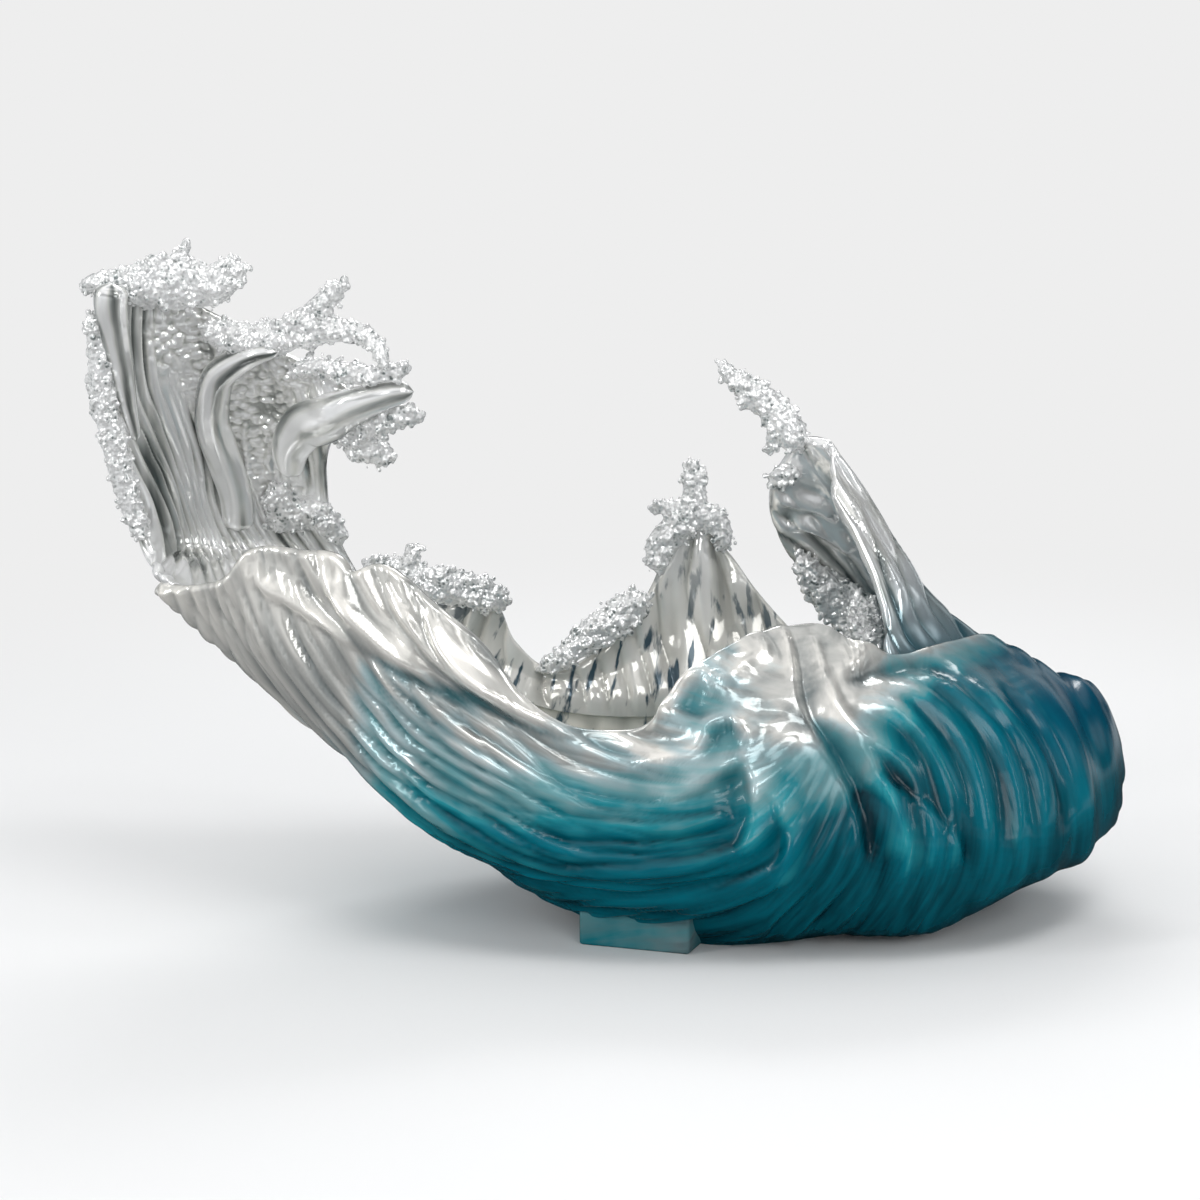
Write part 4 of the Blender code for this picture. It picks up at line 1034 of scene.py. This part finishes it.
# %% [markdown]
# ## The froth
#
# Froth is clear resin full of bubbles, poured in lumps along the edges, so it is
# lumpy, bright and broken at its edge. Each lump starts as the strands of the solid
# model, made a little thinner. Beads of about 1 to 5 mm across are packed over them,
# from a seeded row of random numbers, and one voxel remesh melts beads and strands
# into a single skin. That is quicker than a fluid simulation and always the same.
#
# Each strand is given as its lift off the crest at both ends and its points (x, z,
# half the width, half the depth).

# %% Froth strands
FROTH = {
    "left_edge_froth": ("tall_crest", [
        (0, 0, [(-335, 289, 4, 4), (-332, 274, 6, 6), (-331, 248, 7, 6), (-326, 224, 7, 6),
                (-321, 200, 6, 5), (-314, 180, 4.5, 4.5)]),
    ]),
    "crown_froth": ("tall_crest", [
        (0, 4, [(-339, 301, 3, 4), (-333, 303, 5, 5), (-323, 302, 8, 6), (-312, 302, 12, 7),
                (-300, 302, 14, 7), (-288, 301, 13, 7), (-278, 300, 9, 7), (-270, 307, 8, 5),
                (-263, 308, 4, 4)]),
        (0, 0, [(-301, 304, 6, 5), (-294, 314, 4.5, 4.5), (-292, 319, 3, 3)]),
    ]),
    "arm_froth": ("tall_crest", [
        (0, 14, [(-286, 281, 5, 5), (-275, 277, 8, 6), (-262, 275, 9, 6), (-247, 277, 9, 6),
                 (-235, 284, 8, 6), (-226, 293, 6, 5), (-220, 299, 4.5, 4), (-216, 303, 3, 4)]),
        (6, 16, [(-240, 277, 7, 6), (-227, 280, 7, 6), (-215, 281, 6, 5), (-205, 278, 5, 4),
                 (-199, 272, 4, 4), (-197, 265, 4, 4)]),
    ]),
    "tongue_lip_froth": ("tall_crest", [
        (2, 12, [(-242, 260, 4, 5), (-231, 263, 5, 5), (-217, 261, 5.5, 6), (-202, 260, 5, 6),
                 (-191, 262, 4.5, 5), (-186, 266, 3, 4)]),
    ]),
    "under_lip_froth": ("tall_crest", [
        (0, 6, [(-220, 226, 7, 5), (-210, 231, 8, 5), (-200, 236, 7, 5), (-191, 240, 6, 5),
                (-181, 240, 4, 4)]),
        (0, 4, [(-218, 223, 8, 5), (-206, 222, 7, 5), (-195, 219, 5, 4)]),
    ]),
    "crest_root_froth": ("tall_crest", [
        (2, 3, [(-256, 200, 7, 6), (-250, 188, 12, 8), (-247, 176, 13, 7)]),
        (2, 3, [(-249, 188, 10, 7), (-238, 186, 8, 7), (-229, 180, 7, 6), (-225, 171, 5, 5)]),
    ]),
    "shelf_froth": ("back_crest", [
        (4, 2, [(-214, 156, 5, 5), (-205, 153, 8, 6), (-194, 149, 9, 6), (-179, 145, 10, 7),
                (-165, 142, 10, 7), (-153, 138, 9, 7), (-143, 134, 6, 6)]),
        (4, 4, [(-196, 150, 6, 5), (-190, 160, 4, 4), (-187, 165, 3, 3)]),
    ]),
    "saddle_froth": ("back_crest", [
        (0, 0, [(-127, 98, 4, 5), (-116, 102, 6, 6), (-106, 110, 8, 7), (-94, 118, 10, 7),
                (-82, 126, 10, 7), (-72, 133, 8, 7)]),
    ]),
    "peak_froth": ("back_crest", [
        (0, 0, [(-66, 146, 6, 6), (-66, 157, 8, 7), (-58, 167, 9, 8), (-50, 175, 10, 8),
                (-48, 185, 7, 6), (-48, 196, 6, 5), (-49, 203, 3, 4)]),
        (0, 0, [(-56, 178, 6, 5), (-63, 179, 4, 4), (-70, 180, 2.5, 3)]),
        (0, 0, [(-50, 175, 9, 7), (-39, 173, 8, 7), (-33, 166, 5, 6), (-33, 157, 4, 5)]),
    ]),
    "horn_tip_froth": ("horn", [
        (0, -8, [(0, 221, 6, 6), (-5, 230, 8.5, 7), (-11, 238, 9, 7), (-19, 246, 7.5, 6),
                 (-28, 252, 6, 5), (-35, 258, 4, 4), (-38, 262, 2.5, 3)]),
        (-3, -3, [(-19, 246, 6, 5), (-25, 244, 4.5, 4), (-29, 242, 3, 3)]),
        (0, 0, [(-6, 232, 6, 5), (-12, 226, 5, 5), (-14, 220, 3, 4)]),
    ]),
    "horn_knot_froth": ("horn", [
        (2, 2, [(-14, 204, 4, 5), (-8, 207, 6, 7), (0, 209, 5, 6)]),
    ]),
    "horn_root_froth": ("horn", [
        (3, 8, [(2, 165, 4, 5), (9, 154, 8, 7), (18, 145, 12, 8), (29, 137, 13, 8),
                (36, 130, 8, 7)]),
    ]),
}
FROTH_VOXEL = 0.6
FROTH_SIDES, FROTH_STEP, FROTH_LUMP = 20, 1.6, 0.12
STRAND_SHARE = 0.86
BEAD_RADII = (0.6, 1.7)
BEADS_PER_SQUARE_MM = 0.11
BEAD_SCATTER = 0.9
LARGE_BEADS, LARGER = 0.12, 1.4
BEAD_RINGS, BEAD_SIDES = 5, 8


def bead(middle, radius, start):
    """A small faceted ball, as points and faces that start at an index."""
    points, faces = [], []
    for r in range(BEAD_RINGS + 1):
        tilt = math.pi * r / BEAD_RINGS
        for s in range(BEAD_SIDES):
            turn = 2 * math.pi * s / BEAD_SIDES
            points.append((middle[0] + radius * math.sin(tilt) * math.cos(turn),
                           middle[1] + radius * math.sin(tilt) * math.sin(turn),
                           middle[2] + radius * math.cos(tilt)))
    for r in range(BEAD_RINGS):
        for s in range(BEAD_SIDES):
            a = start + r * BEAD_SIDES + s
            b = start + r * BEAD_SIDES + (s + 1) % BEAD_SIDES
            faces.append((a, a + BEAD_SIDES, b + BEAD_SIDES, b))
    return points, faces


def build_froth(name, seed):
    """One lump: its strands and their beads, melted into a skin."""
    crest, strands = FROTH[name]
    chance = np.random.default_rng(seed)
    points, faces = [], []
    for first_lift, last_lift, rows in strands:
        lifts = np.linspace(first_lift, last_lift, len(rows))
        path = [
            (x, on_crest(crest, x, z) - lift, z, wide * STRAND_SHARE, deep * STRAND_SHARE)
            for (x, z, wide, deep), lift in zip(rows, lifts, strict=True)
        ]
        body, body_faces, _ = strand(path, FROTH_SIDES, FROTH_STEP, lump=FROTH_LUMP, seed=seed)
        girth = sum(r[2] + r[3] for r in rows) / len(rows) * math.pi
        length = run_along(np.array(path)[:, :3])[-1]
        faces += [tuple(i + len(points) for i in f) for f in body_faces]
        points += body.tolist()
        count = int(girth * length * BEADS_PER_SQUARE_MM)
        for at in chance.integers(0, len(body), count):
            radius = chance.uniform(*BEAD_RADII)
            radius *= LARGER if chance.random() < LARGE_BEADS else 1
            middle = body[at] + chance.normal(0, BEAD_SCATTER, 3)
            ball, ball_faces = bead(middle, radius, len(points))
            points += ball
            faces += ball_faces
    piece = mesh_object("poured_" + name, points, faces)
    melt = piece.modifiers.new("melt", "REMESH")
    melt.mode = "VOXEL"
    melt.voxel_size = FROTH_VOXEL * MM
    ease = piece.modifiers.new("ease", "SMOOTH")
    ease.factor = 0.5
    ease.iterations = 1
    apply_modifiers(piece)
    piece.data.shade_smooth()
    return piece


froths = {name: build_froth(name, seed) for seed, name in enumerate(FROTH)}
print("froth faces:", sum(len(p.data.polygons) for p in froths.values()))

# %% [markdown]
# ## Colours and nodes
#
# A colour is written as it looks on a screen, as a hex value, and turned into the
# linear numbers that light adds up in. One small function adds any node and gives
# the output that the next node needs, so a material reads from top to bottom.

# %% Helpers for materials
def linear(hex_colour):
    """A hex colour as a linear colour with alpha."""
    parts = [int(hex_colour[i:i + 2], 16) / 255 for i in (1, 3, 5)]
    return (*(c / 12.92 if c <= 0.04045 else ((c + 0.055) / 1.055) ** 2.4 for c in parts), 1.0)


def add_node(tree, kind, settings=None, inputs=None, stops=None, out=0):
    """Adds one node with its own settings, its inputs (a value, or a socket to link)
    and, for a ramp, its stops, the two ends first. Gives its output named by out."""
    node = tree.nodes.new("ShaderNode" + kind)
    for name, value in (settings or {}).items():
        setattr(node, name, value)
    for name, value in (inputs or {}).items():
        if isinstance(value, bpy.types.NodeSocket):
            tree.links.new(value, node.inputs[name])
        else:
            node.inputs[name].default_value = value
    for i, (position, colour) in enumerate(stops or []):
        ramp = node.color_ramp.elements
        stop = ramp[i] if i < 2 else ramp.new(position)
        stop.position = position
        stop.color = linear(colour)
    return node.outputs[out] if len(node.outputs) else None


def new_material(name):
    """An empty node material, and its tree."""
    material = bpy.data.materials.new(name)
    material.use_nodes = True
    material.node_tree.nodes.clear()
    return material, material.node_tree


# The settings of the nodes that the materials use most. SCALE_ADD gives input 0 times
# input 1 plus input 2, and COLOUR_MIX goes from input 6 to input 7 as input 0 grows.
MULTIPLY = ("Math", {"operation": "MULTIPLY"})
SCALE_ADD = ("Math", {"operation": "MULTIPLY_ADD"})
SCALE_ADD_CLAMP = ("Math", {"operation": "MULTIPLY_ADD", "use_clamp": True})
COLOUR_MIX = ("Mix", {"data_type": "RGBA"})
PER_MM = 1 / MM

print("a grey of #808080 gives", round(linear("#808080")[0], 3), "of the light of white")

# %% [markdown]
# ## Noise that follows the flow
#
# The veils, bands and streaks in the resin are drawn out along the flutes. So their
# noise is read at the place in the flow that each piece keeps, and not in space. Its
# sizes are those of the real marks in mm, across the flow and along it.

# %% Noise along the flow
VEILS, BANDS = (10.0, 500 / 9), (10.0, 250 / 3)
STREAKS, WAVES = (10 / 3, 25.0), (4.0, 40.0)
STREAK_EDGE = {"From Min": 0.55, "From Max": 0.62}


def flow_noise(tree, size, detail=4.0):
    """Noise drawn out along the flow, with lumps of the size (across, along). Where
    the flow is too tight, round lumps take its place."""
    across, along = size
    flow_place = add_node(tree, "Attribute", {"attribute_name": "flow"}, out="Vector")
    stretched = add_node(tree, "VectorMath", {"operation": "MULTIPLY"},
                         {0: flow_place, 1: (1 / across, 1 / along, 0.1)})
    drawn = add_node(tree, "TexNoise", None, {
        "Vector": stretched, "Scale": 1.0, "Detail": detail, "Distortion": 0.3})
    place = add_node(tree, "TexCoord", out="Object")
    lumps = add_node(tree, "TexNoise", None, {
        "Vector": place, "Scale": PER_MM / 2 / across, "Detail": detail, "Distortion": 0.8})
    tight = add_node(tree, "Attribute", {"attribute_name": "near_knot"}, out="Fac")
    return add_node(tree, "Mix", {"data_type": "FLOAT"}, {0: tight, 2: drawn, 3: lumps})


def add_streaks(tree, colour, where, tone):
    """The colour with short dark streaks along the flow, as strong as where says. They are painted
    streaks of the dark seen through the resin.
    """
    streaks = flow_noise(tree, STREAKS)
    streaks = add_node(tree, "MapRange", None, {"Value": streaks, **STREAK_EDGE})
    streaks = add_node(tree, *MULTIPLY, {0: streaks, 1: where})
    return add_node(tree, *COLOUR_MIX, {0: streaks, 6: colour, 7: linear(tone)}, out=2)


print("veils are about", round(VEILS[0]), "mm wide and", round(VEILS[1]), "mm long")

# %% [markdown]
# ## Polished cast resin, tinted
#
# Casting resin is a hard, clear plastic. It was poured into a mould, polished with fine compound
# and lacquered, which gives wet highlights with soft edges. The tint was poured last, so it is
# deep at the bottom and runs out in milky veils along the flutes. One ramp colours the valleys
# between the ridges and another their crowns, both by the depth of the tint, and noise drawn out
# along the flow makes the veils. The ridge's height also moves the colour: the crowns are painted
# lighter, a painted highlight, and the valleys darker, painted shade.
#
# Where the resin is clear, its far face throws light back, so it mirrors in part.
# The far right of the hull leans to blue. The far wall's inside, seen over the near rim, is
# painted cream, as painted backlight that would come through the thin resin, with short dark
# streaks painted in as the dark seen through it, as on the back crest above it. Such resin has an
# index of about 1.5. The sheen of this piece matches a lower one, 1.33.

# %% Tinted resin
CLOUD = 500 / 13
VEIL_WEIGHT, CLOUD_WEIGHT, RIDGE_WEIGHT, TINT_START = 1.1, 1.1, -0.20, -1.10
CROWN_RIDGE, CROWN_VEIL, CROWN_START = 0.48, 1.6, -0.38
BACKLIT_CREAM_DEPTH, BACKLIT_CREAM_HOLLOW, BACKLIT_CREAM_START = -0.8, 1.4, -0.7
# Valleys and crowns differ by the tint and by painted light: the crowns are painted lighter as a
# painted highlight, the valleys darker as painted shade.
VALLEY_TINT_AND_SHADE_COLOURS = [(0.0, "#7a8283"), (1.0, "#00242e"), (0.25, "#4a686d"),
                  (0.50, "#2a5f67"), (0.75, "#064752")]
CROWN_TINT_AND_HIGHLIGHT_COLOURS = [(0.0, "#eeebe5"), (1.0, "#006272"), (0.25, "#bacacd"),
                 (0.50, "#729da1"), (0.75, "#1f828d")]


def tinted_resin():
    """The resin of the hull and of the foot."""
    material, tree = new_material("cast_resin_tinted_polished")
    ridge, tint, hollow, blue = (
        add_node(tree, "Attribute", {"attribute_name": name}, out="Fac")
        for name in ("ridge", "tint", "hollow", "blue")
    )
    veils = flow_noise(tree, VEILS)
    place = add_node(tree, "TexCoord", out="Object")
    clouds = add_node(tree, "TexNoise", None,
                      {"Vector": place, "Scale": PER_MM / CLOUD, "Detail": 3.0})
    depth = add_node(tree, *SCALE_ADD, {0: veils, 1: VEIL_WEIGHT, 2: tint})
    depth = add_node(tree, *SCALE_ADD, {0: clouds, 1: CLOUD_WEIGHT, 2: depth})
    # The ridge makes the crowns less tinted and the valleys more: painted highlight and painted
    # shade.
    depth = add_node(tree, *SCALE_ADD, {0: ridge, 1: RIDGE_WEIGHT, 2: depth})
    depth = add_node(tree, *SCALE_ADD_CLAMP, {0: depth, 1: 1.0, 2: TINT_START})
    valleys = add_node(tree, "ValToRGB", None, {"Fac": depth}, VALLEY_TINT_AND_SHADE_COLOURS)
    crowns = add_node(tree, "ValToRGB", None, {"Fac": depth}, CROWN_TINT_AND_HIGHLIGHT_COLOURS)
    high = add_node(tree, *SCALE_ADD, {0: veils, 1: CROWN_VEIL, 2: CROWN_START})
    # Higher ridges take more of the crown colour: a painted highlight.
    high = add_node(tree, *SCALE_ADD_CLAMP, {0: ridge, 1: CROWN_RIDGE, 2: high})
    colour = add_node(tree, *COLOUR_MIX, {0: high, 6: valleys, 7: crowns}, out=2)
    blueness = add_node(tree, *MULTIPLY, {0: blue, 1: 0.6})
    colour = add_node(tree, *COLOUR_MIX, {0: blueness, 6: colour, 7: linear("#043a58")}, out=2)
    # Painted backlight: the far wall's inside is painted cream, where light would come through the
    # resin.
    backlit_cream = add_node(tree, *SCALE_ADD, {0: hollow, 1: BACKLIT_CREAM_HOLLOW, 2: BACKLIT_CREAM_START})
    backlit_cream = add_node(tree, *SCALE_ADD_CLAMP, {0: depth, 1: BACKLIT_CREAM_DEPTH, 2: backlit_cream})
    colour = add_node(tree, *COLOUR_MIX, {0: backlit_cream, 6: colour, 7: linear("#fbf6ea")}, out=2)
    # Painted dark streaks on the far wall's inside, for the dark seen through the resin.
    colour = add_streaks(tree, colour, hollow, "#566a74")
    waves = flow_noise(tree, WAVES, detail=2.0)
    waves = add_node(tree, "Bump", None, {"Height": waves, "Strength": 0.12, "Distance": 1.5 * MM})
    mirror = add_node(tree, "MapRange", None,
                      {"Value": depth, "From Max": 0.6, "To Min": 0.5, "To Max": 0.0})
    mirror = add_node(tree, *SCALE_ADD_CLAMP, {0: hollow, 1: -0.4, 2: mirror})
    surface = add_node(tree, "BsdfPrincipled", None, {
        "Base Color": colour, "Metallic": mirror, "Roughness": 0.19, "IOR": 1.33,
        "Normal": waves})
    add_node(tree, "OutputMaterial", None, {"Surface": surface})
    return material


TINTED = tinted_resin()
print("material:", TINTED.name)

# %% [markdown]
# ## Polished cast resin, clear
#
# The crests are the same resin without tint. Clear resin of uneven thickness bends what lies
# behind it into soft grey and white bands, which run up the pleats; here those bands are painted
# into the colour as painted refraction, and the crowns of the pleats, lumps and bumps are painted
# lighter, a painted highlight, with painted shade between them. Its far face throws much of the
# light back, as the silvering of a mirror does. So a part of the light goes through, and up to
# half is mirrored. Along the back the resin is painted cream, as painted backlight, and the dark
# of the hull's far side that shows through it is painted in as short blue-grey streaks. The roots
# of two tongues are milky and painted lighter, a painted highlight, the bumps between them nearly
# clear, and the horn takes up some teal where it meets the hull. The index is that of the plastic,
# 1.5.

# %% Clear resin
RIDGE_BAND, ROOT_HIGHLIGHT_BAND = 0.14, 0.1
GREY_COLOURS = [(0.30, "#6c706e"), (0.64, "#ffffff"), (0.41, "#adb0ad"), (0.52, "#e9e9e5")]
WHITE_MILK, FOAM_MILK, BACK_MILK = 0.6, -0.6, 1.3


def clear_resin():
    """The resin of the crests and of the tongues."""
    material, tree = new_material("cast_resin_clear_polished")
    ridge, white, back, tint, foam = (
        add_node(tree, "Attribute", {"attribute_name": name}, out="Fac")
        for name in ("ridge", "white", "streaks", "tint", "foam")
    )
    # Grey and white bands along the flow are painted refraction; the ridge crowns and the tongue
    # roots are painted lighter, a painted highlight.
    bands = flow_noise(tree, BANDS, detail=3.0)
    bands = add_node(tree, *SCALE_ADD, {0: ridge, 1: RIDGE_BAND, 2: bands})
    bands = add_node(tree, *SCALE_ADD, {0: white, 1: ROOT_HIGHLIGHT_BAND, 2: bands})
    colour = add_node(tree, "ValToRGB", None, {"Fac": bands}, GREY_COLOURS)
    # Painted backlight in cream on the back crest, then painted dark streaks for the dark seen
    # through it.
    backlit_cream = add_node(tree, *MULTIPLY, {0: back, 1: 0.6})
    colour = add_node(tree, *COLOUR_MIX, {0: backlit_cream, 6: colour, 7: linear("#fbf7ee")}, out=2)
    colour = add_streaks(tree, colour, back, "#4c606c")
    colour = add_node(tree, *COLOUR_MIX, {0: tint, 6: colour, 7: linear("#3c7484")}, out=2)
    bright = add_node(tree, *MULTIPLY, {0: foam, 1: 0.2})
    colour = add_node(tree, *COLOUR_MIX, {0: bright, 6: colour, 7: linear("#f6f6f0")}, out=2)
    milky = add_node(tree, *MULTIPLY, {0: foam, 1: FOAM_MILK})
    milky = add_node(tree, *SCALE_ADD, {0: white, 1: WHITE_MILK, 2: milky})
    milky = add_node(tree, *SCALE_ADD_CLAMP, {0: back, 1: BACK_MILK, 2: milky})
    mirror = add_node(tree, *SCALE_ADD, {0: milky, 1: -0.25, 2: 0.45})
    clear = add_node(tree, *SCALE_ADD, {0: milky, 1: -0.12, 2: 0.3})
    surface = add_node(tree, "BsdfPrincipled", None, {
        "Base Color": colour, "Metallic": mirror, "Transmission Weight": clear,
        "Roughness": 0.1, "IOR": 1.5})
    add_node(tree, "OutputMaterial", None, {"Surface": surface})
    return material


CLEAR = clear_resin()
print("material:", CLEAR.name)

# %% [markdown]
# ## Bubbled resin
#
# Froth is clear resin full of air. It scatters light at thousands of small skins, so it is nearly
# white. Its tiny dark and bright points are painted: painted shade in the hollow of each bubble
# and painted glints at their rims. Cells of about 2 mm give it those points. The real ones are
# finer, but would not show at this distance.

# %% Froth resin
BUBBLE, MILKY_LUMP = 25 / 12, 6.25
FROTH_SHADE_AND_GLINT_COLOURS = [(0.46, "#8b9292"), (0.78, "#ffffff"), (0.60, "#f0f2f1")]


def froth_resin():
    """The resin of the froth."""
    material, tree = new_material("poured_resin_full_of_bubbles")
    place = add_node(tree, "TexCoord", out="Object")
    bubbles = add_node(tree, "TexVoronoi", {"feature": "F1"},
                       {"Vector": place, "Scale": PER_MM / BUBBLE})
    lumps = add_node(tree, "TexNoise", None,
                     {"Vector": place, "Scale": PER_MM / MILKY_LUMP, "Detail": 2.0})
    mixed = add_node(tree, *SCALE_ADD, {0: bubbles, 1: 0.5, 2: lumps})
    # Dark centres and bright rims of the cells: painted shade and painted glints.
    colour = add_node(tree, "ValToRGB", None, {"Fac": mixed}, FROTH_SHADE_AND_GLINT_COLOURS)
    skins = add_node(tree, "Bump", None, {"Height": bubbles, "Strength": 0.6, "Distance": MM})
    surface = add_node(tree, "BsdfPrincipled", None, {
        "Base Color": colour, "Metallic": 0.35, "Roughness": 0.06, "IOR": 1.5,
        "Transmission Weight": 0.4, "Normal": skins})
    add_node(tree, "OutputMaterial", None, {"Surface": surface})
    return material


FROTHY = froth_resin()
print("material:", FROTHY.name)

# %% [markdown]
# ## Put every piece in its place
#
# Nothing on the wave moves, so every piece rides on the one body, and each says which
# solid it stands for.

# %% Riding and replacing
def put(piece, node, material):
    """Gives a piece its material, ties it to the one body and hides the solid that it stands for.
    """
    piece.data.materials.clear()
    piece.data.materials.append(material)
    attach(piece, "root")
    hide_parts(node)


put(hull, "hull", TINTED)
put(foot, "foot_block", TINTED)
for name, piece in {**crests, **tongues}.items():
    put(piece, name, CLEAR)
for name, piece in froths.items():
    put(piece, name, FROTHY)
print("placed", 2 + len(crests) + len(tongues) + len(froths), "pieces")

# %% [markdown]
# ## Floor and room
#
# The photograph shows the wave against plain pale grey. The floor is pale paper that
# fades into the background, so it keeps the shadow under the hull but shows no
# horizon. Polished resin shows mostly what it mirrors, and in a real studio that is
# a dark room with a few bright panels. So mirrored rays see soft panels, brighter
# above and to the left, and the camera sees the plain background.

# %% Floor and world
PALE = "#eeeeee"
FLOOR_RADIUS = 6.0
FADE = {"From Min": 0.32, "From Max": 1.15}
PANEL_UP, PANEL_RIGHT = 0.28, -0.10
ROOM_COLOURS = [(0.46, "#22282b"), (0.78, "#ffffff"), (0.58, "#8c9496")]


def build_floor():
    """Round paper that glows as the background does, far from the wave."""
    bpy.ops.mesh.primitive_circle_add(vertices=96, radius=FLOOR_RADIUS, fill_type="NGON")
    floor = bpy.context.object
    floor.name = "paper_floor"
    material, tree = new_material("pale_studio_paper")
    place = add_node(tree, "TexCoord", out="Object")
    distance = add_node(tree, "VectorMath", {"operation": "LENGTH"}, {0: place}, out="Value")
    fade = add_node(tree, "MapRange", {"interpolation_type": "SMOOTHSTEP"},
                    {"Value": distance, **FADE})
    # Mirrored rays see the paper darker, both where it is lit and where it glows: a painted darker
    # reflection of the floor in the resin.
    mirrored = add_node(tree, "LightPath", out="Is Glossy Ray")
    tone = add_node(tree, *COLOUR_MIX,
                    {0: mirrored, 6: linear("#f2f2f2"), 7: linear("#3c4042")}, out=2)
    paper = add_node(tree, "BsdfDiffuse", None, {"Color": tone})
    lit = add_node(tree, *COLOUR_MIX, {0: mirrored, 6: linear(PALE), 7: linear("#d4d7d9")}, out=2)
    glow = add_node(tree, "Emission", None, {"Color": lit})
    mixed = add_node(tree, "MixShader", None, {0: fade, 1: paper, 2: glow})
    add_node(tree, "OutputMaterial", None, {"Surface": mixed})
    floor.data.materials.append(material)


def build_world():
    """Soft air for light, panels for mirrored rays, plain pale for the camera."""
    world = bpy.data.worlds.new("studio_air")
    bpy.context.scene.world = world
    world.use_nodes = True
    tree = world.node_tree
    tree.nodes.clear()
    camera, through, mirrored = (
        add_node(tree, "LightPath", out=ray)
        for ray in ("Is Camera Ray", "Is Transmission Ray", "Is Glossy Ray")
    )
    shown = add_node(tree, "Math", {"operation": "MAXIMUM"}, {0: camera, 1: through})
    air = add_node(tree, "Background", None, {"Color": linear("#f4f6f8"), "Strength": 0.55})
    direction = add_node(tree, "TexCoord", out="Generated")
    panels = add_node(tree, "TexNoise", None, {"Vector": direction, "Scale": 2.4, "Detail": 0.0})
    right, up = (
        add_node(tree, "SeparateXYZ", None, {"Vector": direction}, out=axis) for axis in "XZ"
    )
    panels = add_node(tree, *SCALE_ADD, {0: up, 1: PANEL_UP, 2: panels})
    panels = add_node(tree, *SCALE_ADD, {0: right, 1: PANEL_RIGHT, 2: panels})
    room = add_node(tree, "ValToRGB", None, {"Fac": panels}, ROOM_COLOURS)
    room = add_node(tree, "Background", None, {"Color": room})
    seen = add_node(tree, "MixShader", None, {0: mirrored, 1: air, 2: room})
    pale = add_node(tree, "Background", None, {"Color": linear(PALE)})
    mixed = add_node(tree, "MixShader", None, {0: shown, 1: seen, 2: pale})
    add_node(tree, "OutputWorld", None, {"Surface": mixed})


build_floor()
build_world()
print("floor and room ready")

# %% [markdown]
# ## Lamps and camera
#
# The light comes softly from above and in front, with a tall strip at each side that
# draws a bright line down the folds, and one behind that lights the froth through.
# The camera looks from 10 degrees above through a long lens, as the photograph does.

# %% Lamps and camera
MIDDLE = (-0.09, 0.0, 0.13)
SOFTBOXES = {
    "key_softbox": ((0.35, -0.75, 1.5), (0.9, 0.5), 7.0),
    "front_fill": ((0.4, -1.6, 0.7), (0.9, 0.8), 7.0),
    "left_strip": ((-1.4, -0.8, 0.7), (0.2, 0.9), 7.0),
    "right_strip": ((1.4, -0.5, 0.8), (0.15, 0.9), 2.5),
    "back_strip": ((0.0, 1.2, 1.2), (1.0, 0.25), 8.0),
}
CAMERA_AIM, CAMERA_DISTANCE, CAMERA_TILT = (-0.096, 0.0, 0.150), 1.6, math.radians(10.0)
LENS, SENSOR = 100.0, 36.0


def add_softbox(name, place, size, power):
    """A rectangular lamp at a place in metres, turned to the middle of the wave."""
    lamp = bpy.data.lights.new(name, "AREA")
    lamp.shape = "RECTANGLE"
    lamp.size, lamp.size_y = size
    lamp.energy = power
    holder = bpy.data.objects.new(name, lamp)
    bpy.context.scene.collection.objects.link(holder)
    holder.location = place
    aim = Vector(MIDDLE) - Vector(place)
    holder.rotation_euler = aim.to_track_quat("-Z", "Y").to_euler()


def build_camera():
    """The camera at the photograph's viewing angle."""
    data = bpy.data.cameras.new("camera")
    data.lens = LENS
    data.sensor_width = SENSOR
    camera = bpy.data.objects.new("camera", data)
    bpy.context.scene.collection.objects.link(camera)
    back = Vector((0, -math.cos(CAMERA_TILT), math.sin(CAMERA_TILT)))
    camera.location = Vector(CAMERA_AIM) + CAMERA_DISTANCE * back
    camera.rotation_euler = (math.pi / 2 - CAMERA_TILT, 0, 0)
    bpy.context.scene.camera = camera


for name, softbox in SOFTBOXES.items():
    add_softbox(name, *softbox)
build_camera()
bpy.context.scene.view_settings.view_transform = "Standard"
print("lamps:", ", ".join(SOFTBOXES))
